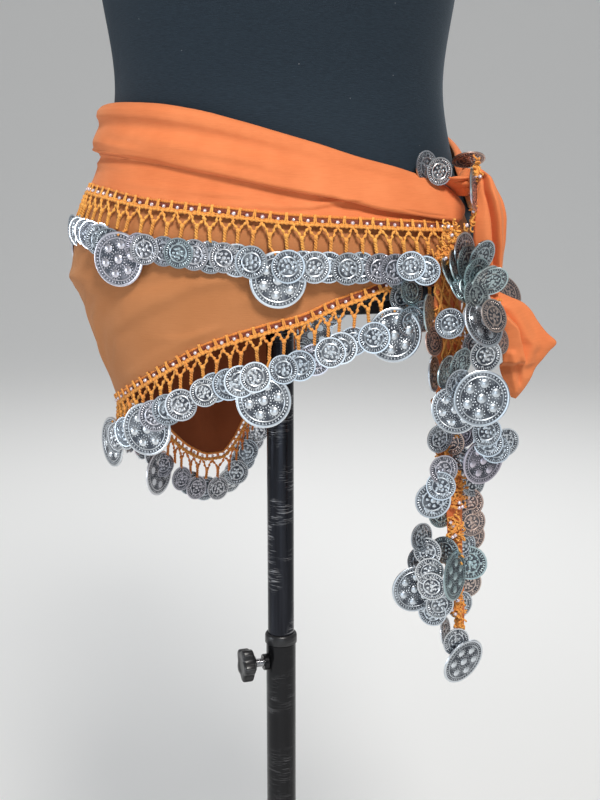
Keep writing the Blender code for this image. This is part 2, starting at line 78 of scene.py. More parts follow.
dressForm = {
    # height, half width, half depth, how far the middle sits forward
    "sections": ((.895, .1650, .1190, 0), (.925, .1620, .1200, 0), (.960, .1500, .1140, 0),
                 (1.000, .1355, .1030, 0), (1.050, .1285, .0960, .001), (1.115, .1360, .1020, .006),
                 (1.200, .1500, .1190, .014), (1.290, .1560, .1060, .006), (1.350, .1620, .0850, -.004),
                 (1.385, .1480, .0700, -.008), (1.412, .1020, .0600, -.008), (1.432, .0640, .0560, -.008),
                 (1.475, .0560, .0560, -.006)),
    "power": 2.15,  # 2 is an ellipse, more is squarer
    "foot": .895,
    "lip": .004,
    "columns": 160,
    "rows": 130,
}
pouch = {
    # the long layer below the form: height, half width, half depth
    "sections": ((.660, .0900, .1150), (.740, .1080, .1190), (.800, .1320, .1210), (.855, .1500, .1215),
                 (.880, .1590, .1220), (.900, .1680, .1225)),
    "turnInAbove": .012,
    "turnInLength": .020,
}
scarf = {
    "cloth": .0009,
    "layerOffset": .0026,  # middle of the long layer's cloth, out from the form
    "lastTurn": -285.0,
    "trimFirst": 61.5,
    "coinsFirst": 50.5,  # the last small coins, beside the tails
    "trimLast": -278.0,
    "perDegree": .00236,  # metres round the hips for a degree of turn
    "topEdge": ((68, .9690), (63, .9730), (58, .9765), (51, .9822), (44, .9872), (30, .9952), (16, 1.0042),
                (2, 1.0118), (-14, 1.0202), (-33, 1.0290), (-49, 1.0333), (-66, 1.0345), (-85, 1.0335),
                (-120, 1.034), (-150, 1.035), (-180, 1.034), (-210, 1.030), (-240, 1.022), (-265, 1.006),
                (-285, .990)),
    "flapEdge": ((68, .9460), (58, .9472), (40, .9500), (27, .9521), (14, .9538), (1, .9558), (-17, .9598),
                 (-31, .9624), (-45, .9653), (-53, .9678), (-64, .9712), (-78, .9730), (-95, .968),
                 (-120, .957),
                 (-150, .944), (-180, .936), (-210, .939), (-240, .950), (-265, .956), (-285, .961)),
    "longEdge": ((68, .930), (57, .9240), (46, .9165), (40, .9120), (34, .9065), (30, .9025), (18, .8930),
                 (8, .8832), (1, .8794), (-12, .8712), (-19, .8662), (-26, .8600), (-33, .8516), (-41, .8415),
                 (-50, .8300), (-66, .8125), (-90, .7960), (-104, .7860), (-114, .7750), (-126, .7480),
                 (-134, .7350), (-145, .7250), (-151, .7245), (-157, .7350), (-163, .7560), (-170, .785),
                 (-186, .850), (-202, .890), (-225, .914), (-250, .932), (-285, .956)),
}


def girthPoint(turn, height, offset=0.0, sections=dressForm["sections"]):
    # superellipse round the axis: (|sin|/a)^p + (|cos|/b)^p = reach^-p, with a and b read at the height
    turn, height, offset = np.broadcast_arrays(turn, height, offset)
    sizes = readTable(sections, height)
    a, b = sizes[..., 0] + offset, sizes[..., 1] + offset
    forward = sizes[..., 2] if sizes.shape[-1] > 2 else 0.0
    angle = np.radians(turn)
    p = dressForm["power"]
    reach = ((np.abs(np.sin(angle)) / a) ** p + (np.abs(np.cos(angle)) / b) ** p) ** (-1 / p)
    return np.stack([reach * np.sin(angle), -reach * np.cos(angle) - forward, height], -1)


def scarfPoint(turn, height, offset):
    # on the form above its foot, on the hanging pouch below it, eased from one to the other
    onForm = girthPoint(turn, np.maximum(height, dressForm["foot"]), offset)
    inPouch = girthPoint(turn, height, np.asarray(offset) - scarf["layerOffset"], pouch["sections"])
    share = easeIn((dressForm["foot"] + pouch["turnInAbove"] - height) / pouch["turnInLength"])[..., None]
    point = onForm * (1 - share) + inPouch * share
    point[..., 2] = height
    return point


def plumbPoint(turn, edge, drop, offset):
    # straight down from the edge, or on the surface where that is wider
    start, below = scarfPoint(turn, edge, offset), scarfPoint(turn, edge - drop, offset)
    startReach, reach = np.hypot(start[..., 0], start[..., 1]), np.hypot(below[..., 0], below[..., 1])
    grow = (np.maximum(startReach, reach) / reach)[..., None]
    return below * np.concatenate([grow, grow, np.ones_like(grow)], -1)


def edgeOf(name, turn):
    return readTable(scarf[name], turn)[..., 0]


def creaseRelief(turn, height, creases):
    # each crease is a line of (turn, height) stops; the cloth rises by its rise times
    # exp(-(distance / width)^2), with its own width below the line, and dies away at both ends
    place = np.stack([turn * scarf["perDegree"], height], -1)
    relief = np.zeros(place.shape[:-1])
    for stops, rise, above, below in creases:
        line = np.array(stops, float) * (scarf["perDegree"], 1)
        legs = np.diff(line, axis=0)
        lengths = np.linalg.norm(legs, axis=1)
        starts = np.concatenate([[0], np.cumsum(lengths)])
        nearest, along, side = np.full(relief.shape, 9.0), np.zeros(relief.shape), np.zeros(relief.shape)
        for start, leg, length, run in zip(line, legs, lengths, starts):
            offset = place - start
            share = np.clip((offset @ leg) / length ** 2, 0, 1)
            gap = np.linalg.norm(offset - share[..., None] * leg, axis=-1)
            closer = gap < nearest
            nearest = np.where(closer, gap, nearest)
            along = np.where(closer, run + share * length, along)
            side = np.where(closer, (leg[0] * offset[..., 1] - leg[1] * offset[..., 0]) * np.sign(leg[0]),
                side)
        width = np.where(side > 0, above, below)
        ends = easeIn(np.minimum(along, starts[-1] - along) / (.3 * starts[-1]))
        relief += rise * np.exp(-(nearest / width) ** 2) * ends
    return relief


# making meshes

def gridFaces(rows, columns, aroundColumns=False, aroundRows=False):
    r, c = np.meshgrid(np.arange(rows if aroundRows else rows - 1),
                       np.arange(columns if aroundColumns else columns - 1), indexing="ij")
    rNext, cNext = (r + 1) % rows, (c + 1) % columns
    corners = [r * columns + c, r * columns + cNext, rNext * columns + cNext, rNext * columns + c]
    return np.stack(corners, -1).reshape(-1, 4)


def joinParts(parts):
    # each part is points, face arrays, flat coordinates and tints
    points, faces, flats, tints, start = [], [], [], [], 0
    for part in parts:
        points.append(part["points"].reshape(-1, 3))
        count = len(points[-1])
        faces += [f + start for f in part["faces"]]
        flats.append(part.get("flat", np.zeros((count, 2))).reshape(-1, 2))
        tints.append(np.broadcast_to(part.get("tint", 0.5), (count,)))
        start += count
    return {"points": np.concatenate(points), "faces": faces, "flat": np.concatenate(flats),
            "tint": np.concatenate(tints)}


def putMesh(name, part, material, body, closed=True, sharp=None, replaces=(), wall=0.0, inside=None):
    points = np.ascontiguousarray(part["points"].reshape(-1, 3), np.float32)
    faces = [np.asarray(f) for f in part["faces"]]
    if closed:
        # six times the volume is the sum of a . (b x c) over the triangles of each face
        volume = 0.0
        for f in faces:
            a, b, c = points[f[:, :1]], points[f[:, 1:-1]], points[f[:, 2:]]
            volume += float((a * np.cross(b, c)).sum())
        if volume < 0:
            faces = [f[:, ::-1] for f in faces]
    corners = np.concatenate([f.ravel() for f in faces]).astype(np.int32)
    sizes = np.concatenate([np.full(len(f), f.shape[1]) for f in faces])
    starts = np.concatenate([[0], np.cumsum(sizes)[:-1]]).astype(np.int32)
    mesh = bpy.data.meshes.new(name)
    mesh.vertices.add(len(points))
    mesh.vertices.foreach_set("co", points.ravel())
    mesh.loops.add(len(corners))
    mesh.loops.foreach_set("vertex_index", corners)
    mesh.polygons.add(len(starts))
    mesh.polygons.foreach_set("loop_start", starts)
    mesh.update(calc_edges=True)
    mesh.polygons.foreach_set("use_smooth", np.ones(len(starts), bool))
    if sharp:
        mesh.set_sharp_from_angle(angle=math.radians(sharp))
    if "flat" in part:
        layer = mesh.uv_layers.new(name="flat")
        layer.data.foreach_set("uv", part["flat"].reshape(-1, 2)[corners].astype(np.float32).ravel())
    if "tint" in part:
        tint = mesh.attributes.new("tint", "FLOAT", "POINT")
        tint.data.foreach_set("value", np.ascontiguousarray(part["tint"], np.float32))
    mesh.materials.append(material)
    piece = bpy.data.objects.new(name, mesh)
    bpy.context.scene.collection.objects.link(piece)
    if wall:
        shell = piece.modifiers.new("clothWall", "SOLIDIFY")
        shell.thickness = wall
        shell.offset = 0.0
        if inside:
            mesh.materials.append(inside)
            shell.material_offset = 1
    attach(piece, body)
    if replaces:
        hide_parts(*replaces)
    return piece


def loft(rings):
    # closed rings one above the other, with a flat face over each end
    rows, around = rings.shape[:2]
    ends = np.stack([np.arange(around)[::-1], (rows - 1) * around + np.arange(around)])
    return {"points": rings, "faces": [gridFaces(rows, around, aroundColumns=True), ends]}


def turned(profile, around, hollow=False, start=(0, 0, 0), axis=(0, 0, 1)):
    # a profile of (radius, height) swung round an axis; a hollow one is a closed outline
    profile = np.array(profile, float)
    angle = np.linspace(0, 2 * math.pi, around, endpoint=False)
    axis = unit(np.array(axis, float))
    side = unit(np.cross(axis, (0.3, 0.9, 0.1)))
    other = np.cross(axis, side)
    radial = np.cos(angle)[:, None] * side + np.sin(angle)[:, None] * other
    rings = np.array(start) + profile[:, None, :1] * radial + profile[:, None, 1:] * axis
    if hollow:
        return {"points": rings, "faces": [gridFaces(len(profile), around, True, True)]}
    return loft(rings)


def sweepTubes(paths, radii, sides=6, tint=0.5):
    # a circle carried along each path, square to it, with a flat face at each end
    paths = np.asarray(paths, float)
    count, stops = paths.shape[:2]
    tangent = unit(np.gradient(paths, axis=1))
    guide = np.eye(3)[np.argmin(np.abs(tangent).mean(1), axis=1)][:, None, :]
    side = unit(np.cross(tangent, guide))
    up = np.cross(side, tangent)
    angle = np.arange(sides) * 2 * math.pi / sides
    ring = np.cos(angle)[:, None] * side[:, :, None] + np.sin(angle)[:, None] * up[:, :, None]
    radii = np.broadcast_to(radii, (count, stops))
    points = paths[:, :, None] + radii[..., None, None] * ring
    starts = (np.arange(count) * stops * sides)[:, None, None]
    quads = (gridFaces(stops, sides, aroundColumns=True) + starts).reshape(-1, 4)
    ends = np.stack([np.arange(sides)[::-1], (stops - 1) * sides + np.arange(sides)])
    tint = np.repeat(np.broadcast_to(tint, (count,)), stops * sides)
    return {"points": points, "faces": [quads, (ends + starts).reshape(-1, sides)], "tint": tint}


def stamp(template, places, frames, scales, tints):
    # copies of one shape; each frame's rows are its right, up and outward directions
    count, size = len(places), len(template["points"])
    points = (template["points"][None] * np.reshape(scales, (-1, 1, 1))) @ frames + places[:, None]
    starts = (np.arange(count) * size)[:, None, None]
    return {"points": points,
            "faces": [(f[None] + starts).reshape(-1, f.shape[1]) for f in template["faces"]],
            "flat": np.tile(template["flat"], (count, 1)), "tint": np.repeat(tints, size)}


def leaningFrames(normals, yaw, pitch, lean):
    # yaw about the coin's own upright, pitch about its own right, then a lean about the outward direction
    yaw, pitch, lean = (np.radians(a)[:, None] for a in (yaw, pitch, lean))
    up = np.broadcast_to((0.0, 0.0, 1.0), normals.shape)
    right = unit(np.cross(up, normals))
    rightTurned = right * np.cos(yaw) - normals * np.sin(yaw)
    outTurned = normals * np.cos(yaw) + right * np.sin(yaw)
    upTurned = up * np.cos(pitch) + outTurned * np.sin(pitch)
    outTurned = outTurned * np.cos(pitch) - up * np.sin(pitch)

    def spun(v):
        about = (normals * v).sum(-1, keepdims=True)
        return v * np.cos(lean) + np.cross(normals, v) * np.sin(lean) + normals * about * (1 - np.cos(lean))

    return np.stack([spun(rightTurned), spun(upTurned), spun(outTurned)], 1)


# materials

def nodeTree(material):
    material.use_nodes = True
    tree = material.node_tree
    return tree, tree.nodes["Principled BSDF"]


def addNode(tree, kind, **settings):
    node = tree.nodes.new(kind)
    for key, value in settings.items():
        if key.startswith("in_"):
            node.inputs[int(key[3:])].default_value = value
        else:
            setattr(node, key, value)
    return node


def calc(tree, operation, *inputs):
    node = addNode(tree, "ShaderNodeMath", operation=operation)
    for place, value in enumerate(inputs):
        if isinstance(value, (int, float)):
            node.inputs[place].default_value = value
        else:
            tree.links.new(value, node.inputs[place])
    return node.outputs[0]


def blendColour(tree, share, first, second, kind="MIX"):
    node = addNode(tree, "ShaderNodeMix", data_type="RGBA", blend_type=kind)
    for place, value in ((0, share), (6, first), (7, second)):
        if isinstance(value, (int, float)):
            node.inputs[place].default_value = value
        elif isinstance(value, tuple):
            node.inputs[place].default_value = (*value, 1)
        else:
            tree.links.new(value, node.inputs[place])
    return node.outputs[2]


def newGroup(name, inputs, outputs):
    group = bpy.data.node_groups.new(name, "ShaderNodeTree")
    for socket, kind, value in inputs:
        made = group.interface.new_socket(name=socket, in_out="INPUT", socket_type=kind)
        if value is not None:
            made.default_value = value
    for socket, kind in outputs:
        group.interface.new_socket(name=socket, in_out="OUTPUT", socket_type=kind)
    return group, group.nodes.new("NodeGroupInput"), group.nodes.new("NodeGroupOutput")


def useGroup(tree, group, **values):
    node = tree.nodes.new("ShaderNodeGroup")
    node.node_tree = group
    for name, value in values.items():
        if isinstance(value, (int, float)):
            node.inputs[name].default_value = value
        else:
            tree.links.new(value, node.inputs[name])
    return node


def plainWeaveGroup():
    # threads of warp and weft as two crossed waves, slubs as noise stretched along the weft
    group, start, end = newGroup("plainWeave",
        (("Place", "NodeSocketVector", None), ("Threads", "NodeSocketFloat", 6200.0),
                                                ("Slub", "NodeSocketFloat", 0.5)),
                                 (("Height", "NodeSocketFloat"), ("Tone", "NodeSocketFloat")))
    split = addNode(group, "ShaderNodeSeparateXYZ")
    group.links.new(start.outputs["Place"], split.inputs[0])
    across = calc(group, "SINE", calc(group, "MULTIPLY", split.outputs[0], start.outputs["Threads"]))
    down = calc(group, "SINE", calc(group, "MULTIPLY", split.outputs[1], start.outputs["Threads"]))
    weave = calc(group, "MULTIPLY", across, down)
    stretch = addNode(group, "ShaderNodeMapping", in_3=(90, 1300, 1))
    group.links.new(start.outputs["Place"], stretch.inputs[0])
    slub = addNode(group, "ShaderNodeTexNoise", in_2=1.0, in_3=2.0)
    group.links.new(stretch.outputs[0], slub.inputs[0])
    slubs = calc(group, "MULTIPLY", calc(group, "SUBTRACT", slub.outputs[0], 0.5), start.outputs["Slub"])
    broad = addNode(group, "ShaderNodeTexNoise", in_2=26.0, in_3=3.0)
    group.links.new(start.outputs["Place"], broad.inputs[0])
    height = calc(group, "ADD", calc(group, "MULTIPLY", weave, 0.25), slubs)
    group.links.new(height, end.inputs["Height"])
    tone = calc(group, "ADD", calc(group, "MULTIPLY", slubs, 0.8),
        calc(group, "SUBTRACT", broad.outputs[0], 0.5))
    group.links.new(calc(group, "ADD", tone, 0.5), end.inputs["Tone"])
    return group


def lintGroup():
    # scattered specks: small cells whose own random value is high, and only near the cell's centre
    group, start, end = newGroup("lintSpecks",
        (("Place", "NodeSocketVector", None), ("Scale", "NodeSocketFloat", 190.0),
                                                ("Amount", "NodeSocketFloat", 0.02)),
                                 (("Mask", "NodeSocketFloat"),))
    cells = addNode(group, "ShaderNodeTexVoronoi")
    group.links.new(start.outputs["Place"], cells.inputs["Vector"])
    group.links.new(start.outputs["Scale"], cells.inputs["Scale"])
    split = addNode(group, "ShaderNodeSeparateColor")
    group.links.new(cells.outputs["Color"], split.inputs[0])
    chosen = calc(group, "LESS_THAN", split.outputs[0], start.outputs["Amount"])
    near = calc(group, "LESS_THAN", cells.outputs["Distance"], 0.09)
    group.links.new(calc(group, "MULTIPLY", chosen, near), end.inputs["Mask"])
    return group


def wornMetalGroup():
    # streaks along the tube and fine scratches round it
    group, start, end = newGroup("wornMetal", (("Place", "NodeSocketVector", None),
        ("Scratch", "NodeSocketFloat", 0.6)),
                                 (("Scratches", "NodeSocketFloat"), ("Smears", "NodeSocketFloat")))
    long = addNode(group, "ShaderNodeMapping", in_3=(260, 260, 9))
    group.links.new(start.outputs["Place"], long.inputs[0])
    smears = addNode(group, "ShaderNodeTexNoise", in_2=1.0, in_3=3.0)
    group.links.new(long.outputs[0], smears.inputs[0])
    flat = addNode(group, "ShaderNodeMapping", in_3=(70, 70, 1500))
    group.links.new(start.outputs["Place"], flat.inputs[0])
    lines = addNode(group, "ShaderNodeTexNoise", in_2=1.0, in_3=4.0)
    group.links.new(flat.outputs[0], lines.inputs[0])
    patches = addNode(group, "ShaderNodeTexNoise", in_2=34.0, in_3=3.0)
    group.links.new(start.outputs["Place"], patches.inputs[0])
    cut = calc(group, "MULTIPLY", calc(group, "SUBTRACT", lines.outputs[0], 0.56), 14.0)
    where = calc(group, "MULTIPLY", calc(group, "SUBTRACT", patches.outputs[0], 0.50), 9.0)
    both = addNode(group, "ShaderNodeClamp")
    group.links.new(calc(group, "MINIMUM", cut, where), both.inputs[0])
    group.links.new(calc(group, "MULTIPLY", both.outputs[0], start.outputs["Scratch"]),
        end.inputs["Scratches"])
    group.links.new(smears.outputs[0], end.inputs["Smears"])
    return group


def stampedReliefGroup():
    # a struck coin, from its own flat coordinates: milled dashes inside the rim, a ring, a rosette in the
    # middle whose petals and turn differ from coin to coin, and raised grains between them
    group, start, end = newGroup("stampedRelief",
        (("Flat", "NodeSocketVector", None), ("Own", "NodeSocketFloat", 0.5),
                                                   ("Dashes", "NodeSocketFloat", 40.0),
                                                   ("Grains", "NodeSocketFloat", 5.0)),
                                 (("Height", "NodeSocketFloat"), ("Recess", "NodeSocketFloat")))
    split = addNode(group, "ShaderNodeSeparateXYZ")
    group.links.new(start.outputs["Flat"], split.inputs[0])
    x, y = split.outputs[0], split.outputs[1]
    radius = calc(group, "SQRT", calc(group, "ADD", calc(group, "MULTIPLY", x, x),
        calc(group, "MULTIPLY", y, y)))
    angle = calc(group, "ARCTAN2", y, x)
    own = start.outputs["Own"]

    def band(middle, half):
        # 1 at the middle radius, 0 beyond half
        away = calc(group, "ABSOLUTE", calc(group, "SUBTRACT", radius, middle))
        return calc(group, "MAXIMUM", calc(group, "SUBTRACT", 1.0, calc(group, "DIVIDE", away, half)), 0.0)

    dashes = calc(group, "SINE", calc(group, "MULTIPLY", angle, start.outputs["Dashes"]))
    milled = calc(group, "MULTIPLY", calc(group, "MAXIMUM", dashes, 0.0), band(0.80, 0.09))
    petals = calc(group, "ADD", 5.0, calc(group, "ROUND", calc(group, "MULTIPLY", own, 3.0)))
    rosette = calc(group, "COSINE", calc(group, "ADD", calc(group, "MULTIPLY", angle, petals),
                                         calc(group, "MULTIPLY", own, 40.0)))
    rosette = calc(group, "MULTIPLY", calc(group, "MAXIMUM", rosette, 0.0), band(0.30, 0.11))
    ring = band(0.56, 0.045)
    button = band(0.0, 0.15)
    moved = addNode(group, "ShaderNodeCombineXYZ")
    group.links.new(calc(group, "MULTIPLY", own, 57.0), moved.inputs[2])
    shifted = addNode(group, "ShaderNodeVectorMath", operation="ADD")
    group.links.new(start.outputs["Flat"], shifted.inputs[0])
    group.links.new(moved.outputs[0], shifted.inputs[1])
    grains = addNode(group, "ShaderNodeTexVoronoi")
    group.links.new(shifted.outputs[0], grains.inputs["Vector"])
    group.links.new(start.outputs["Grains"], grains.inputs["Scale"])
    raised = calc(group, "MAXIMUM", calc(group, "SUBTRACT", 1.0,
        calc(group, "MULTIPLY", grains.outputs["Distance"], 2.0)), 0.0)
    raised = calc(group, "MULTIPLY", raised, calc(group, "LESS_THAN", radius, 0.76))
    rim = calc(group, "GREATER_THAN", radius, 0.90)
    total = calc(group, "ADD", milled, calc(group, "MULTIPLY", rosette, 1.1))
    for more in (calc(group, "MULTIPLY", ring, 0.8), calc(group, "MULTIPLY", button, 1.2),
                 calc(group, "MULTIPLY", raised, 0.75), rim):
        total = calc(group, "MAXIMUM", total, more)
    upHere = calc(group, "SUBTRACT", y, 0.80)
    fromHole = calc(group, "SQRT", calc(group, "ADD", calc(group, "MULTIPLY", x, x),
                                        calc(group, "MULTIPLY", upHere, upHere)))
    outsideHole = calc(group, "GREATER_THAN", fromHole, 0.085)
    total = calc(group, "MULTIPLY", total, outsideHole)
    group.links.new(total, end.inputs["Height"])
    low = addNode(group, "ShaderNodeMapRange", in_1=0.26, in_2=0.06)
    group.links.new(total, low.inputs[0])
    recess = calc(group, "MAXIMUM", low.outputs[0], calc(group, "SUBTRACT", 1.0, outsideHole))
    group.links.new(recess, end.inputs["Recess"])
    return group


def domedReliefGroup():
    # a large coin with a dome in the middle and six round it: a ring of beads round each dome, dashes
    # inside the rim, and grains on the ground between; one sixth is worked out and turned six times
    group, start, end = newGroup("domedRelief",
                                 (("Flat", "NodeSocketVector", None), ("Own", "NodeSocketFloat", 0.5)),
                                 (("Height", "NodeSocketFloat"), ("Recess", "NodeSocketFloat")))
    split = addNode(group, "ShaderNodeSeparateXYZ")
    group.links.new(start.outputs["Flat"], split.inputs[0])
    x, y = split.outputs[0], split.outputs[1]

    def reach(a, b):
        return calc(group, "SQRT", calc(group, "ADD", calc(group, "MULTIPLY", a, a),
            calc(group, "MULTIPLY", b, b)))

    def band(value, middle, half):
        away = calc(group, "ABSOLUTE", calc(group, "SUBTRACT", value, middle))
        return calc(group, "MAXIMUM", calc(group, "SUBTRACT", 1.0, calc(group, "DIVIDE", away, half)), 0.0)

    def beads(turn, number):
        return calc(group, "MAXIMUM", calc(group, "COSINE", calc(group, "MULTIPLY", turn, number)), 0.0)

    sixth = math.pi / 3
    radius, angle = reach(x, y), calc(group, "ARCTAN2", y, x)
    folded = calc(group, "FLOORED_MODULO", calc(group, "ADD", angle, sixth / 2 - .3), sixth)
    folded = calc(group, "SUBTRACT", folded, sixth / 2)
    aside = calc(group, "SUBTRACT", calc(group, "MULTIPLY", radius, calc(group, "COSINE", folded)), .54)
    across = calc(group, "MULTIPLY", radius, calc(group, "SINE", folded))
    fromDome, roundDome = reach(aside, across), calc(group, "ARCTAN2", across, aside)
    outer = calc(group, "MULTIPLY", beads(roundDome, 12.0), band(fromDome, .205, .035))
    inner = calc(group, "MULTIPLY", beads(angle, 16.0), band(radius, .265, .045))
    dashes = calc(group, "MULTIPLY", beads(angle, 44.0), band(radius, .855, .05))
    cells = addNode(group, "ShaderNodeTexVoronoi")
    group.links.new(start.outputs["Flat"], cells.inputs["Vector"])
    cells.inputs["Scale"].default_value = 11.0
    grains = calc(group, "MULTIPLY", calc(group, "SUBTRACT", .7,
        calc(group, "MULTIPLY", cells.outputs["Distance"], 2.0)), .7)
    total = grains
    for more in (outer, inner, dashes, calc(group, "MULTIPLY", band(radius, .77, .03), .9)):
        total = calc(group, "MAXIMUM", total, more)
    domes = calc(group, "MAXIMUM", calc(group, "LESS_THAN", fromDome, .155),
        calc(group, "LESS_THAN", radius, .17))
    plain = calc(group, "MAXIMUM", domes, calc(group, "GREATER_THAN", radius, .91))
    ground = calc(group, "SUBTRACT", 1.0, plain)
    group.links.new(calc(group, "MULTIPLY", total, ground), end.inputs["Height"])
    low = addNode(group, "ShaderNodeMapRange", in_1=.55, in_2=.10)
    group.links.new(total, low.inputs[0])
    group.links.new(calc(group, "MULTIPLY", low.outputs[0], ground), end.inputs["Recess"])
    return group


weaveGroup, lintSpecks, wornMetal = plainWeaveGroup(), lintGroup(), wornMetalGroup()
stampedRelief, domedRelief = stampedReliefGroup(), domedReliefGroup()


def clothMaterial(name, deep, bright, sheen=0.25):
    material = bpy.data.materials.new(name)
    tree, shader = nodeTree(material)
    flat = addNode(tree, "ShaderNodeUVMap", uv_map="flat")
    weave = useGroup(tree, weaveGroup, Place=flat.outputs[0])
    colour = blendColour(tree, weave.outputs["Tone"], deep, bright)
    tree.links.new(colour, shader.inputs["Base Color"])
    bump = addNode(tree, "ShaderNodeBump")
    bump.inputs["Strength"].default_value = 0.45
    bump.inputs["Distance"].default_value = 0.0005
    tree.links.new(weave.outputs["Height"], bump.inputs["Height"])
    tree.links.new(bump.outputs[0], shader.inputs["Normal"])
    shader.inputs["Roughness"].default_value = 0.72
    shader.inputs["Specular IOR Level"].default_value = 0.25
    shader.inputs["Sheen Weight"].default_value = sheen
    shader.inputs["Sheen Roughness"].default_value = 0.45
    shader.inputs["Sheen Tint"].default_value = (1.0, 0.62, 0.36, 1)
    return material


def yarnMaterial(name, light, dark):
    # two tones of the same thread, mixed by the piece's tint, with fuzz; on the trims the tint also carries
    # painted shade round the back
    material = bpy.data.materials.new(name)
    tree, shader = nodeTree(material)
    tint = addNode(tree, "ShaderNodeAttribute", attribute_name="tint")
    place = addNode(tree, "ShaderNodeTexCoord")
    fuzz = addNode(tree, "ShaderNodeTexNoise", in_2=900.0, in_3=3.0)
    tree.links.new(place.outputs["Object"], fuzz.inputs[0])
    shade = blendColour(tree, tint.outputs["Fac"], light, dark)
    shade = blendColour(tree, calc(tree, "MULTIPLY", calc(tree, "SUBTRACT", 0.62, fuzz.outputs[0]), 1.6),
                        shade, (0.42, 0.12, 0.02))
    tree.links.new(shade, shader.inputs["Base Color"])
    bump = addNode(tree, "ShaderNodeBump")
    bump.inputs["Strength"].default_value = 0.6
    bump.inputs["Distance"].default_value = 0.0005
    tree.links.new(fuzz.outputs[0], bump.inputs["Height"])
    tree.links.new(bump.outputs[0], shader.inputs["Normal"])
    shader.inputs["Roughness"].default_value = 0.8
    shader.inputs["Sheen Weight"].default_value = 0.3
    shader.inputs["Sheen Tint"].default_value = (1.0, 0.75, 0.4, 1)
    return material


def coinMaterial(name, group, depth, **values):
    material = bpy.data.materials.new(name)
    tree, shader = nodeTree(material)
    flat = addNode(tree, "ShaderNodeUVMap", uv_map="flat")
    tint = addNode(tree, "ShaderNodeAttribute", attribute_name="tint")
    relief = useGroup(tree, group, Flat=flat.outputs[0], Own=tint.outputs["Fac"], **values)
    ramp = addNode(tree, "ShaderNodeValToRGB")
    stops = ((0.0, (0.44, 0.51, 0.58)), (0.22, (0.66, 0.73, 0.80)), (0.45, (0.82, 0.84, 0.86)),
             (0.60, (0.62, 0.57, 0.68)), (0.75, (0.40, 0.55, 0.57)), (0.90, (0.72, 0.58, 0.50)),
             (1.0, (0.68, 0.40, 0.30)))
    ramp.color_ramp.elements[0].color = (*stops[0][1], 1)
    ramp.color_ramp.elements[1].color = (*stops[-1][1], 1)
    for where, colour in stops[1:-1]:
        ramp.color_ramp.elements.new(where).color = (*colour, 1)
    tree.links.new(tint.outputs["Fac"], ramp.inputs[0])
    place = addNode(tree, "ShaderNodeTexCoord")
    cloud = addNode(tree, "ShaderNodeTexNoise", in_2=130.0, in_3=3.0)
    tree.links.new(place.outputs["Object"], cloud.inputs[0])
    patina = calc(tree, "MULTIPLY", relief.outputs["Recess"], calc(tree, "ADD", cloud.outputs[0], 0.42))
    silver = blendColour(tree, calc(tree, "MULTIPLY", cloud.outputs[0], 0.35), ramp.outputs[0],
        (0.93, 0.95, 0.98))
    colour = blendColour(tree, patina, silver, (0.085, 0.095, 0.115))
    tree.links.new(colour, shader.inputs["Base Color"])
    shader.inputs["Metallic"].default_value = 1.0
    rough = calc(tree, "ADD", calc(tree, "MULTIPLY", relief.outputs["Recess"], 0.20), 0.33)
    tree.links.new(rough, shader.inputs["Roughness"])
    bump = addNode(tree, "ShaderNodeBump")
    bump.inputs["Strength"].default_value = 1.0
    bump.inputs["Distance"].default_value = depth
    tree.links.new(relief.outputs["Height"], bump.inputs["Height"])
    tree.links.new(bump.outputs[0], shader.inputs["Normal"])
    return material


def jerseyMaterial(name):
    # fine rows of knit lying level, a slow change of tone, and lint
    material = bpy.data.materials.new(name)
    tree, shader = nodeTree(material)
    place = addNode(tree, "ShaderNodeTexCoord")
    rows = addNode(tree, "ShaderNodeMapping", in_3=(240, 240, 1900))
    tree.links.new(place.outputs["Object"], rows.inputs[0])
    knit = addNode(tree, "ShaderNodeTexNoise", in_2=1.0, in_3=2.0)
    tree.links.new(rows.outputs[0], knit.inputs[0])
    slow = addNode(tree, "ShaderNodeTexNoise", in_2=7.0, in_3=2.0)
    tree.links.new(place.outputs["Object"], slow.inputs[0])
    lint = useGroup(tree, lintSpecks, Place=place.outputs["Object"])
    tone = calc(tree, "ADD", calc(tree, "MULTIPLY", knit.outputs[0], 0.8),
        calc(tree, "MULTIPLY", slow.outputs[0], 0.2))
    colour = blendColour(tree, tone, (0.006, 0.010, 0.016), (0.022, 0.036, 0.051))
    colour = blendColour(tree, calc(tree, "MULTIPLY", lint.outputs["Mask"], 0.30), colour, (0.30, 0.31, 0.33))
    tree.links.new(colour, shader.inputs["Base Color"])
    bump = addNode(tree, "ShaderNodeBump")
    bump.inputs["Strength"].default_value = 0.4
    bump.inputs["Distance"].default_value = 0.0005
    tree.links.new(knit.outputs[0], bump.inputs["Height"])
    tree.links.new(bump.outputs[0], shader.inputs["Normal"])
    shader.inputs["Roughness"].default_value = 0.85
    shader.inputs["Specular IOR Level"].default_value = 0.2
    shader.inputs["Sheen Weight"].default_value = 0.10
    shader.inputs["Sheen Tint"].default_value = (0.7, 0.85, 1.0, 1)
    return material


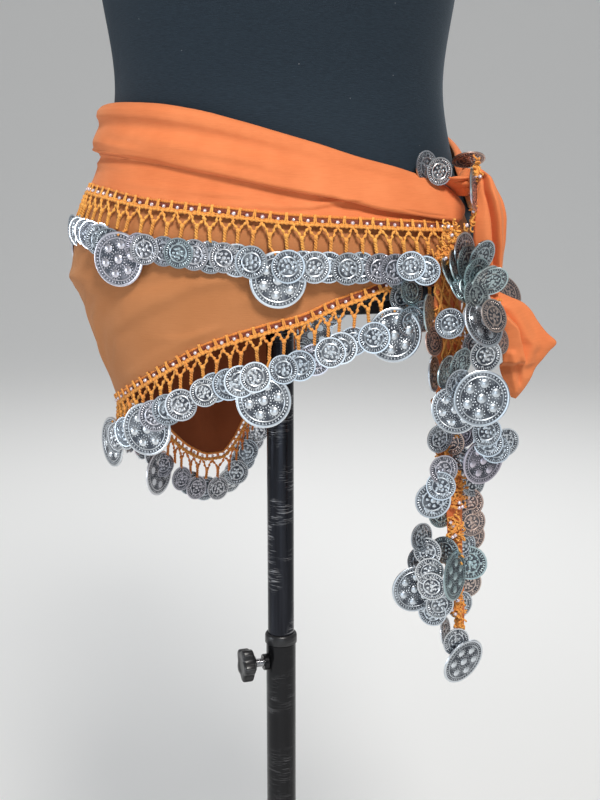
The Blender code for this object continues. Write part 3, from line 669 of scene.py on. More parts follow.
def hardMaterial(name, dark, light, roughness, metallic, scratch, grain=400.0, pits=0.00008):
    # paint, plastic or bare metal with smears, scratches and a fine grain
    material = bpy.data.materials.new(name)
    tree, shader = nodeTree(material)
    place = addNode(tree, "ShaderNodeTexCoord")
    worn = useGroup(tree, wornMetal, Place=place.outputs["Object"], Scratch=scratch)
    colour = blendColour(tree, worn.outputs["Smears"], dark, light)
    colour = blendColour(tree, worn.outputs["Scratches"], colour, (0.62, 0.62, 0.64))
    tree.links.new(colour, shader.inputs["Base Color"])
    rough = calc(tree, "ADD", calc(tree, "MULTIPLY", worn.outputs["Smears"], 0.18), roughness - 0.09)
    rough = calc(tree, "ADD", rough, calc(tree, "MULTIPLY", worn.outputs["Scratches"], 0.3))
    tree.links.new(rough, shader.inputs["Roughness"])
    shader.inputs["Metallic"].default_value = metallic
    fine = addNode(tree, "ShaderNodeTexNoise", in_2=grain, in_3=3.0)
    tree.links.new(place.outputs["Object"], fine.inputs[0])
    bump = addNode(tree, "ShaderNodeBump")
    bump.inputs["Strength"].default_value = 0.4
    bump.inputs["Distance"].default_value = pits
    tree.links.new(calc(tree, "SUBTRACT", fine.outputs[0], worn.outputs["Scratches"]), bump.inputs["Height"])
    tree.links.new(bump.outputs[0], shader.inputs["Normal"])
    return material


def pearlMaterial(name):
    material = bpy.data.materials.new(name)
    tree, shader = nodeTree(material)
    place = addNode(tree, "ShaderNodeTexCoord")
    cloud = addNode(tree, "ShaderNodeTexNoise", in_2=300.0, in_3=2.0)
    tree.links.new(place.outputs["Object"], cloud.inputs[0])
    colour = blendColour(tree, cloud.outputs[0], (0.62, 0.46, 0.48), (0.86, 0.80, 0.86))
    tree.links.new(colour, shader.inputs["Base Color"])
    shader.inputs["Roughness"].default_value = 0.18
    shader.inputs["Metallic"].default_value = 0.35
    shader.inputs["Coat Weight"].default_value = 0.6
    return material


orangeCloth = clothMaterial("orangeCloth", (0.60, 0.145, 0.042), (0.84, 0.262, 0.095))
underCloth = clothMaterial("orangeClothUnder", (0.40, 0.148, 0.048), (0.53, 0.215, 0.082))
# painted shade: a darker, redder copy of the orange cloth for the inner side of the long layer, which lies in
# shadow inside the scarf
shadedInsideCloth = clothMaterial("orangeClothInsideShade", (0.20, 0.040, 0.008), (0.28, 0.062, 0.014), sheen=0.05)
jersey = jerseyMaterial("formJersey")
yarn = yarnMaterial("crochetYarn", (0.92, 0.46, 0.09), (0.74, 0.20, 0.035))
ribbonThread = yarnMaterial("darkRedThread", (0.16, 0.018, 0.012), (0.10, 0.010, 0.010))
pearl = pearlMaterial("pearlBead")
smallCoinMetal = coinMaterial("struckCoin", stampedRelief, 0.00030, Dashes=36.0, Grains=5.0)
medallionMetal = coinMaterial("struckMedallion", domedRelief, 0.00032)
blackPlastic = hardMaterial("blackPlastic", (0.008, 0.008, 0.009), (0.018, 0.018, 0.020), 0.34, 0.0, 0.10)
chrome = hardMaterial("chromedSteel", (0.42, 0.42, 0.44), (0.70, 0.70, 0.72), 0.20, 1.0, 0.2)
wornTube = hardMaterial("wornTube", (0.006, 0.006, 0.008), (0.055, 0.058, 0.070), 0.24, 1.0, 0.55)
darkTube = hardMaterial("darkTube", (0.004, 0.004, 0.005), (0.018, 0.018, 0.020), 0.24, 0.6, 0.10)
blackSteel = hardMaterial("blackSteel", (0.010, 0.010, 0.011), (0.030, 0.030, 0.033), 0.42, 0.3, 0.06)
print("materials ready")


# dress form

def formRing(height, inset=0.0):
    turns = np.linspace(0, 360, dressForm["columns"], endpoint=False)
    return girthPoint(turns, np.full(len(turns), height), -inset)


def makeDressForm():
    foot, lip = dressForm["foot"], dressForm["lip"]
    neckTop = dressForm["sections"][-1][0]
    # a quarter round at the foot: inset 2 lip (1 - sin a), rise 2 lip (1 - cos a)
    rings = []
    for a in np.linspace(0, math.pi / 2, 7):
        ring = formRing(foot, 2 * lip * (1 - math.sin(a)))
        ring[:, 2] = foot - lip + 2 * lip * (1 - math.cos(a))
        rings.append(ring)
    rings += [formRing(h) for h in np.linspace(foot + lip, neckTop, dressForm["rows"])[1:]]
    putMesh("dressFormTorso", loft(np.array(rings)), jersey, "form", sharp=50,
        replaces=["form_torso"])

    capRings = []
    for rise, out in ((0, .0008), (.0006, .0020), (.0098, .0020), (.0120, .0014), (.0134, 0),
            (.0140, -.0040)):
        ring = formRing(neckTop, -out)
        ring[:, 2] = neckTop + .0004 + rise
        capRings.append(ring)
    putMesh("neckCap", loft(np.array(capRings)), blackPlastic, "form", sharp=50,
            replaces=["form_neck_cap"])

    boardRings = []
    for rise, inset in ((-.0104, .0152), (-.0098, .0140), (-.0010, .0140), (-.0004, .0148)):
        ring = formRing(foot, inset)
        ring[:, 2] = foot - lip + rise
        boardRings.append(ring)
    putMesh("bottomBoard", loft(np.array(boardRings)), blackPlastic, "form", sharp=50,
            replaces=["form_bottom_board"])
    print("dress form made")


makeDressForm()


# stand

stand = {
    "around": 96,
    "flangeBase": .8762, "flangeTop": .8802,
    "upperBottom": .368, "upperTop": .8758, "upperRadius": .0113,
    "lowerTop": .581, "lowerRadius": .0128, "bore": .0118,
    "baseRadius": .175, "baseHeight": .006,
}


def makeStand():
    around = stand["around"]
    low, high = stand["flangeBase"], stand["flangeTop"]
    flange = ((.0310, low), (.0320, low + .0008), (.0320, high - .0008), (.0310, high))
    putMesh("flange", turned(flange, around), chrome, "form", sharp=40, replaces=["form_flange"])
    r, low, high = stand["upperRadius"], stand["upperBottom"], stand["upperTop"]
    heights = np.linspace(low + .001, high - .001, 40)
    upper = [(r - .0008, low)] + [(r, h) for h in heights] + [(r - .0008, high)]
    putMesh("upperTube", turned(upper, around), wornTube, "form", sharp=40,
        replaces=["upper_tube"])

    r, bore, high = stand["lowerRadius"], stand["bore"], stand["lowerTop"]
    footTop = .0064
    heights = np.linspace(footTop, high - .0004, 30)
    lower = [(bore, footTop)] + [(r, h) for h in heights] + [(r - .0004, high), (bore, high)]
    putMesh("lowerTube", turned(lower, around, hollow=True), darkTube, "stand", sharp=40,
            replaces=["lower_tube"])
    low = high + .0004
    collar = ((bore, low), (.0136, low), (.0138, low + .0006), (.0138, low + .0062), (.0134, low + .0076),
              (.0126, low + .0086), (bore, low + .0090))
    putMesh("tubeCollar", turned(collar, around, hollow=True), blackPlastic, "stand",
            sharp=40,
            replaces=["tube_collar"])
    foot = ((.0132, .0064), (.0296, .0064), (.0300, .0072), (.0298, .0120), (.0240, .0150), (.0170, .0175),
            (.0152, .0198), (.0146, .0204), (.0132, .0204))
    putMesh("footRing", turned(foot, around, hollow=True), blackSteel, "stand", sharp=40,
            replaces=["foot_ring"])
    big, top = stand["baseRadius"], stand["baseHeight"]
    base = ((big - .0020, 0), (big - .0006, .0004), (big, .0016), (big, top - .0022),
            (big - .0006, top - .0008),
            (big - .0022, top), (.120, top), (.040, top))
    putMesh("basePlate", turned(base, 160), blackSteel, "stand", sharp=40,
        replaces=["base_plate"])
    print("stand made")


makeStand()


# clamp: boss, threaded pin and lobed knob

clamp = {
    "height": .564, "turn": -72.0,
    "bossRadius": .0070, "bossReach": .0165,
    "pinRadius": .0038, "pinStart": .0122, "pinEnd": .0235,
    "threadPitch": .0012, "threadDepth": .0004,
    "knobRadius": .0150, "knobThickness": .0125, "lobes": 5, "lobeDepth": .0034,
    # share of the thickness, share of the outline
    "knobProfile": ((0, .60), (.06, .64), (.16, .82), (.24, .95), (.32, 1), (.60, 1.0), (.84, 1), (.93, .97),
                    (.98, .90), (1, .82), (1, .60), (.97, .56), (.95, .40), (.95, .10)),
}


def makeClamp():
    angle = math.radians(clamp["turn"])
    outward = np.array([math.sin(angle), -math.cos(angle), 0.0])
    start = np.array([0, 0, clamp["height"]])
    r, reach = clamp["bossRadius"], clamp["bossReach"]
    inner = stand["lowerRadius"] - .0004
    pin = clamp["pinRadius"] + .0004
    boss = ((pin, inner), (r, inner), (r, reach - .0006), (r - .0006, reach), (pin, reach))
    putMesh("clampBoss", turned(boss, 64, True, start, outward), darkTube, "stand", sharp=40,
            replaces=["clamp_boss"])

    # thread: radius less depth (1/2 + 1/2 cos(2 pi length / pitch - angle))
    length = np.linspace(clamp["pinStart"], clamp["pinEnd"], 90)
    turn = np.linspace(0, 2 * math.pi, 32, endpoint=False)
    groove = .5 + .5 * np.cos(2 * math.pi * length[:, None] / clamp["threadPitch"] - turn)
    radius = clamp["pinRadius"] - clamp["threadDepth"] * groove
    side = unit(np.cross(outward, (0, 0, 1.0)))
    up = np.cross(side, outward)
    rings = (start + length[:, None, None] * outward
             + radius[..., None] * (np.cos(turn)[:, None] * side + np.sin(turn)[:, None] * up))
    putMesh("clampPin", loft(rings), chrome, "clamp", replaces=["clamp_screw"])

    # knob outline: radius less depth (1/2 + 1/2 cos(lobes angle))
    turn = np.linspace(0, 2 * math.pi, 120, endpoint=False)
    outline = clamp["knobRadius"] - clamp["lobeDepth"] * (.5 + .5 * np.cos(clamp["lobes"] * turn))
    profile = np.array(clamp["knobProfile"])
    # the face inside the rim is round, so the lobes fade there
    plainRadius = clamp["knobRadius"] - clamp["lobeDepth"]
    fade = easeIn((profile[:, 1] - .55) / .30)[:, None]
    radius = profile[:, 1:] * (outline * fade + plainRadius * (1 - fade))
    length = clamp["pinEnd"] + .0004 + profile[:, :1] * clamp["knobThickness"]
    rings = (start + length[:, None] * outward
             + radius[..., None] * (np.cos(turn)[:, None] * side + np.sin(turn)[:, None] * up))
    putMesh("clampKnob", loft(rings), blackPlastic, "clamp", sharp=38,
        replaces=["clamp_knob"])
    print("clamp made")


makeClamp()


# short flap: the outer leaf, rolled over at the top

shortFlap = {
    "columns": 450, "rows": 84,
    # how far down the big crease lies, as a share of the flap's height, by turn
    "creaseShare": ((68, .90), (60, .885), (47, .815), (34, .765), (23, .69), (11, .67), (-11, .64),
                    (-31, .62),
                    (-48, .585), (-66, .57), (-85, .56), (-120, .62), (-150, .52), (-180, .56), (-210, .64),
                    (-240, .60), (-285, .62)),
    # how sharply the cloth turns in under that crease, by turn
    "hardness": ((66, 1), (36, 1), (12, .66), (-12, .40), (-34, .15), (-60, 0), (-110, 0), (-140, .6),
                 (-170, .9),
                 (-200, .5), (-230, .8), (-285, .6)),
    # where the cloth ends beside the knot: a place along the section, and its turn
    "end": ((0, 60), (3, 62), (5, 64.5), (7, 66.8), (8.5, 67), (9.5, 65.5), (10.5, 62.8), (11.4, 60.6),
            (12.5, 60),
            (14, 61.5), (17, 62.5)),
    # place along the section: offset from the form, drop, share above the crease, share below it
    "section": ((0, .0026, .0130, 0, 0), (1, .0026, .0050, 0, 0), (2, .0030, .0012, 0, 0),
                (3, .0042, 0, 0, 0),
                (4, .0058, .0008, 0, 0), (5, .0070, .0030, 0, 0), (6, .0074, .0030, .10, 0),
                (7, .0078, .0015, .26, 0), (8, .0086, 0, .44, 0), (9, .0100, 0, .64, 0),
                (10, .0116, 0, .85, 0),
                (11, .0126, .0006, 1.0, 0), (11.4, .0108, .0024, 1.0, 0), (12, .0066, .0020, 1.0, 0),
                (13, .0046, .0010, 1.0, .06), (14, .0043, 0, 1.0, .30), (15, .0048, 0, 1.0, .56),
                (16, .0058, 0, 1.0, .80), (17, .0068, 0, 1.0, 1.0)),
    "softSection": ((0, .0026, .0130, 0, 0), (1, .0026, .0050, 0, 0), (2, .0036, .0012, 0, 0),
                    (3, .0062, 0, 0, 0),
                    (4, .0094, .0012, 0, 0), (5, .0121, .0044, 0, 0), (6, .0122, .0032, .14, 0),
                    (7, .0102, .0010, .30, 0), (8, .0090, 0, .46, 0), (9, .0106, 0, .64, 0),
                    (10, .0117, 0, .80, 0),
                    (11, .0100, 0, .95, 0), (11.4, .0088, 0, .98, 0), (12, .0070, 0, 1.0, .02),
                    (13, .0048, 0, 1.0, .14), (14, .0041, 0, 1.0, .35), (15, .0040, 0, 1.0, .60),
                    (16, .0042, 0, 1.0, .80), (17, .0048, 0, 1.0, 1.0)),
    # stops of (turn, height), rise, width above, width below
    "creases": (
        (((-124, 1.0030), (-100, 1.0000), (-80, .9988), (-64, .9976), (-42, .9930)), .0026, .0016, .0010),
        (((-122, .9965), (-100, .9940), (-85, .9938), (-66, .9930), (-54, .9914), (-40, .9886)), -.0040,
            .0010, .0009),
        (((-120, .9925), (-100, .9905), (-85, .9898), (-66, .9889), (-50, .9864)), .0014, .0010, .0026),
        (((-26, .9640), (-8, .9618), (2, .9602), (12, .9606), (18, .9630), (24, .9656), (32, .9663)), .0026,
            .0024, .0010),
        (((-18, .9602), (2, .9574), (14, .9580), (22, .9608), (31, .9630)), -.0010, .0010, .0022),
        (((-72, 1.0200), (-56, 1.0170), (-35, 1.0135), (-18, 1.0072), (2, .9982), (16, .9925)), -.0014,
            .0060, .0050),
        (((-58, 1.0090), (-36, 1.0040), (-12, .9940), (10, .9850), (26, .9790)), .0028, .0056, .0042),
        (((-72, 1.0110), (-58, 1.0060), (-44, 1.0030)), -.0014, .0026, .0030),
        (((-30, .9975), (-14, .9900), (2, .9840)), -.0010, .0030, .0026),
        (((20, .9905), (36, .9820), (52, .9740)), -.0010, .0030, .0030),
        (((34, .9760), (46, .9700), (56, .9660)), .0009, .0040, .0030),
        (((38, .9590), (48, .9545), (57, .9510)), -.0012, .0009, .0016),
        (((-70, .9850), (-48, .9806), (-28, .9758), (-8, .9712)), -.0022, .0022, .0030),
        (((-64, .9782), (-40, .9738), (-22, .9702), (-2, .9662)), .0022, .0024, .0034),
        (((-34, .9690), (-18, .9662), (-4, .9640)), -.0012, .0012, .0020),
        (((-150, 1.0120), (-132, 1.0080), (-108, 1.0130)), .0018, .0040, .0024),
        (((-148, 1.0050), (-130, 1.0010), (-112, 1.0040)), -.0022, .0018, .0030),
        (((-196, 1.0180), (-176, 1.0080), (-150, 1.0000), (-132, .9980)), .0020, .0046, .0022),
        (((-192, 1.0080), (-172, .9990), (-152, .9920)), -.0024, .0018, .0036),
        (((-214, .9950), (-196, .9820), (-170, .9760), (-150, .9740)), .0016, .0040, .0030),
        (((-206, .9860), (-188, .9740), (-168, .9680)), -.0014, .0020, .0030),
        (((-262, .9990), (-244, .9960), (-222, 1.0040), (-204, 1.0140)), .0021, .0036, .0024),
        (((-268, .9920), (-248, .9880), (-228, .9950), (-212, 1.0040)), -.0024, .0020, .0028),
        (((-282, .9800), (-262, .9780), (-240, .9790), (-222, .9870)), .0015, .0028, .0024),
        (((-282, .9730), (-264, .9700), (-246, .9700)), -.0016, .0016, .0024)),
}


def flapSection(turns, places):
    # the soft section and the hard one, mixed by the turn's hardness: offset, drop, above, below
    hard = readTable(shortFlap["hardness"], turns)[..., 0]
    soft, full = (np.moveaxis(readTable(shortFlap[name], places), -1, 0)
        for name in ("softSection", "section"))
    return soft * (1 - hard) + full * hard


def makeShortFlap():
    last = shortFlap["section"][-1][0]
    # finer where the roll and the big crease bend
    places = np.sort(np.concatenate([np.linspace(0, last, shortFlap["rows"] - 36), np.linspace(1.2, 5.6, 12),
                                     np.linspace(10.1, 13.2, 24)]))[:, None]
    first = readTable(shortFlap["end"], places[:, 0])
    turn = first + (scarf["lastTurn"] - first) * np.linspace(0, 1, shortFlap["columns"]) ** 1.12
    offset, drop, above, below = flapSection(turn, places + 0 * turn)
    top, edge = edgeOf("topEdge", turn), edgeOf("flapEdge", turn)
    crease = readTable(shortFlap["creaseShare"], turn)[..., 0]
    height = top - drop - (top - edge) * (above * crease + below * (1 - crease))
    front = easeIn((places - 3.4) / 2.4)
    relief = creaseRelief(turn, height, shortFlap["creases"]) * front
    # slow unevenness of the puffs: two long waves of unlike length
    slow = .0004 * np.sin(turn / 9.0 + height * 60) + .0003 * np.sin(turn / 23.0 - height * 90 + 1.3)
    lower = easeIn((places - 13) / 4)
    out = offset + (relief + slow) * (1 - .6 * lower)
    out = np.maximum(out, .0040 * front + .0026 * (1 - front))
    # both ends are turned under, along a quarter circle
    ends = np.clip((first - turn) / 2.6, 0, 1) * np.clip((turn - scarf["lastTurn"]) / 3.5, 0, 1)
    out = .0030 + (out - .0030) * np.sqrt(1 - (1 - ends) ** 2)
    points = scarfPoint(turn, height, out)
    flat = np.stack([turn * scarf["perDegree"], height], -1)
    part = {"points": points, "faces": [gridFaces(*height.shape)], "flat": flat}
    made = putMesh("shortFlap", part, orangeCloth, "form", closed=False, wall=scarf["cloth"],
                   replaces=["short_flap_front", "short_flap_back"])
    print("short flap made")
    return made


# long layer: the inner leaf, down to the cloth's corner low at the back

longLayer = {
    "columns": 430, "rows": 102, "firstTurn": 69.0,
    "creases": (
        (((-70, .8180), (-64, .8460), (-50, .8790), (-28, .9050), (4, .9200)), .0026, .0090, .0060),
        (((-66, .8160), (-54, .8330), (-36, .8570), (-12, .8800)), .0012, .0040, .0060),
        (((-76, .8150), (-74, .8400), (-68, .8700), (-54, .9020)), .0030, .0070, .0050),
        (((-84, .8100), (-84, .8400), (-80, .8660), (-66, .8930), (-46, .9120)), .0016, .0050, .0040),
        (((-70, .8300), (-60, .8580), (-46, .8760)), -.0016, .0034, .0050),
        (((-64, .8700), (-52, .8960), (-34, .9100), (-8, .9190)), -.0014, .0034, .0060),
        (((-58, .8260), (-46, .8380), (-30, .8560)), .0012, .0030, .0050),
        (((-44, .8620), (-30, .8660), (-16, .8760)), .0010, .0026, .0040),
        (((-100, .9040), (-84, .9010), (-68, .9040), (-52, .9080)), .0020, .0060, .0036),
        (((-96, .8960), (-82, .8930), (-66, .8960)), -.0012, .0030, .0040),
        (((-100, .9000), (-88, .9120), (-80, .9300), (-78, .9480)), -.0012, .0060, .0060),
        (((-18, .8900), (4, .9020), (26, .9120)), .0018, .0060, .0050),
        (((-8, .9060), (20, .9190), (40, .9290)), .0020, .0050, .0060),
        (((-50, .9200), (-24, .9300), (6, .9360)), -.0012, .0060, .0060),
        (((-108, .7850), (-106, .8250), (-100, .8700), (-96, .9000)), .0040, .0080, .0060),
        (((-128, .7550), (-124, .8100), (-118, .8600), (-112, .9050)), .0050, .0070, .0080),
        (((-141, .7350), (-140, .8000), (-134, .8600), (-128, .9150)), -.0040, .0060, .0060),
        (((-151, .7260), (-152, .7900), (-150, .8500), (-146, .9200)), .0060, .0080, .0090),
        (((-162, .7700), (-164, .8300), (-160, .8900)), -.0036, .0060, .0060),
        (((-172, .8100), (-178, .8500), (-180, .9000)), .0044, .0070, .0070),
        (((-190, .8700), (-204, .9000), (-224, .9240)), .0026, .0060, .0060),
        (((-206, .9000), (-228, .9200), (-250, .9380)), -.0014, .0050, .0050),
        (((-226, .9220), (-246, .9340), (-270, .9500)), .0018, .0040, .0050)),
}


def makeLongLayer():
    turns = np.linspace(longLayer["firstTurn"], scarf["lastTurn"], longLayer["columns"])
    top = edgeOf("topEdge", turns) - .0146
    edge = edgeOf("longEdge", turns)
    share = np.linspace(0, 1, longLayer["rows"])[:, None]
    height = top + (edge - top) * share
    turn = np.broadcast_to(turns, height.shape)
    seen = easeIn((edgeOf("flapEdge", turns) + .004 - height) / .020)
    relief = creaseRelief(turn, height, longLayer["creases"])
    slow = .0004 * np.sin(turn / 13.0 + height * 34) + .0002 * np.sin(turn / 7.0 - height * 90 + 0.6)
    onForm = height > dressForm["foot"] - .004
    out = (relief + slow) * seen
    out = np.where(onForm, np.maximum(out, -.0004), np.maximum(out, -.0035))
    near = easeIn((height - edge) / .010)
    out = out * (.35 + .65 * near)
    points = scarfPoint(turn, height, scarf["layerOffset"] + out)
    flat = np.stack([turn * scarf["perDegree"], height], -1)
    part = {"points": points, "faces": [gridFaces(*height.shape)], "flat": flat}
    # the inner side of its wall takes the painted-shade copy of the cloth
    made = putMesh("longLayer", part, underCloth, "form", closed=False, wall=scarf["cloth"],
                   inside=shadedInsideCloth,
                   replaces=["long_layer_front", "long_layer_back"])
    print("long layer made")
    return made


flapPiece = makeShortFlap()
layerPiece = makeLongLayer()


# coins

coins = {
    "around": 24, "thickness": .0010, "smallRadius": .0115,
    "bigRadius": .0203, "bigAround": 72, "bigRings": 24, "domes": 6, "domeCircle": .54, "domeRadius": .155,
}


def smallCoinShape():
    # unit disc with a raised rim; thickness is a share of the radius
    around, half = coins["around"], .5 * coins["thickness"] / coins["smallRadius"]
    angle = np.arange(around) * 2 * math.pi / around
    rings = [np.stack([r * np.cos(angle), r * np.sin(angle), np.full(around, z)], -1)
             for r, z in ((.985, -half), (1, half), (.90, half * .82))]
    part = loft(np.array(rings))
    part["points"] = part["points"].reshape(-1, 3)
    part["flat"] = part["points"][:, :2].copy()
    return part


def medallionShape():
    # heights on a polar grid: rim, two rings, one dome in the middle and a circle of domes round it
    around, rings = coins["bigAround"], coins["bigRings"]
    half = .5 * .0014 / coins["bigRadius"]
    angle = np.arange(around) * 2 * math.pi / around
    radius = np.concatenate([[.03], np.linspace(.09, .955, rings - 3), [.975, 1.0]])[:, None]
    x, y = radius * np.cos(angle), radius * np.sin(angle)
    height = .016 * easeIn((radius - .90) / .05) + .012 * np.exp(-((radius - .77) / .025) ** 2)
    height = height + .014 * np.exp(-((radius - .27) / .03) ** 2) + 0 * angle
    domes = [(0, 0, .17)]
    step = 2 * math.pi / coins["domes"]
    domes += [(coins["domeCircle"] * math.cos(i * step + .3), coins["domeCircle"] * math.sin(i * step + .3),
               coins["domeRadius"]) for i in range(coins["domes"])]
    for cx, cy, size in domes:
        away = np.hypot(x - cx, y - cy) / size
        height = np.maximum(height, .065 * np.sqrt(np.maximum(1 - away ** 2, 0)))
        height = height + .010 * np.exp(-((away - 1.25) / .16) ** 2)
    height[-1] = 0
    front = np.stack([x, y, half * .6 + height], -1)
    back = np.stack([x[-1], y[-1], np.full(around, -half)], -1)[None]
    part = loft(np.concatenate([front, back]))
    part["points"] = part["points"].reshape(-1, 3)
    part["flat"] = part["points"][:, :2].copy()
    return part


def pearlShape():
    tilt = np.radians([-66, -34, 0, 34, 66])
    angle = np.arange(8) * math.pi / 4
    rings = np.stack([np.outer(np.cos(tilt), np.cos(angle)), np.outer(np.cos(tilt), np.sin(angle)),
                      np.broadcast_to(np.sin(tilt)[:, None], (5, 8))], -1)
    part = loft(rings)
    part["points"] = part["points"].reshape(-1, 3)
    part["flat"] = part["points"][:, :2].copy()
    return part


smallCoin, medallion, pearlBall = smallCoinShape(), medallionShape(), pearlShape()


# crochet trim along a hem

trim = {
    "spacing": .0105,
    "railDrop": .0058,  # the rail cord, below the hem and square to it
    "vDrop": .0092,  # from the rail down to where a pair of arms meets
    "stemEnd": .0186,  # from the rail down to the coin's hole
    # radii: arms and posts, rail, one thread of a stem, bead, hem roll, stem of a medallion
    "cord": .00100, "rail": .00110, "stem": .00072, "pearl": .00150, "hemRoll": .00115, "bigStem": .0009,
    "railStitch": .0035, "hemStitch": .0023,  # length of a chain stitch
    "missing": .07,  # share of the small coins that are gone
}
trims = {
    "upper": {"edge": "flapEdge", "coinShift": .003,
              # turn, height of the middle of each medallion
              "medallions": ((-49.5, .919), (.4, .907), (-103, .918), (-157, .898), (-211, .896),
                  (-255, .910)),
              "replaces": ["fringe_upper_front", "fringe_upper_back"],
              "names": [f"medallion_upper_{i}" for i in range(1, 7)]},
    "lower": {"edge": "longEdge", "coinShift": .0,
              "medallions": ((-45, .794), (-4.5, .822), (37, .868), (-76, .768), (-119, .716), (-192, .830),
                             (-226, .868)),
              "replaces": ["fringe_lower_front", "fringe_lower_back"],
              "names": [f"medallion_lower_{i}" for i in range(7, 14)]},
}


def hemOffset(kind, turns):
    # the upper hem lies where the flap's section ends
    if kind == "lower":
        return .0040 + 0 * turns
    return flapSection(turns, 17.0 + 0 * turns)[0] + .0005


def hemRuler(kind):
    # turn against length along the hem, and the hem's slope there
    turns = np.linspace(scarf["trimFirst"], scarf["trimLast"], 1400)
    line = scarfPoint(turns, edgeOf(trims[kind]["edge"], turns), hemOffset(kind, turns))
    steps = np.linalg.norm(np.diff(line, axis=0), axis=1)
    length = np.concatenate([[0], np.cumsum(steps)])
    level = np.gradient(np.cumsum(np.concatenate([[0], np.hypot(*np.diff(line[:, :2], axis=0).T)])))
    slope = np.arctan2(-np.gradient(line[:, 2]), level)  # turns fall along the line, so the sign is turned
    kernel = np.ones(25) / 25
    slope = np.convolve(np.pad(slope, 12, mode="edge"), kernel, mode="valid")
    return turns, length, slope


def trimPoint(kind, ruler, along, drop, out=0.0):
    # square to the hem down to the rail, then straight down
    turns, length, slope = ruler
    along, drop, out = np.broadcast_arrays(along, drop, out)
    turn = np.interp(along, length, turns)
    tilt = np.interp(along, length, slope)
    square = np.minimum(drop, trim["railDrop"])
    hang = np.maximum(drop - trim["railDrop"], 0)
    turn = turn + square * np.sin(tilt) / scarf["perDegree"]
    edge = edgeOf(trims[kind]["edge"], np.interp(along, length, turns)) - square * np.cos(tilt)
    return plumbPoint(turn, edge, hang, hemOffset(kind, turn) + out)


def facingOut(along, turns):
    # square to the hem, and on the front half of the wearer's right hip turned partly to the front
    normals = np.stack([along[:, 1], -along[:, 0], np.zeros(len(along))], -1)
    share = .42 * easeIn((turns + 92) / 26)[:, None]
    return unit(normals * (1 - share) + np.array([0.0, -1.0, 0.0]) * share)


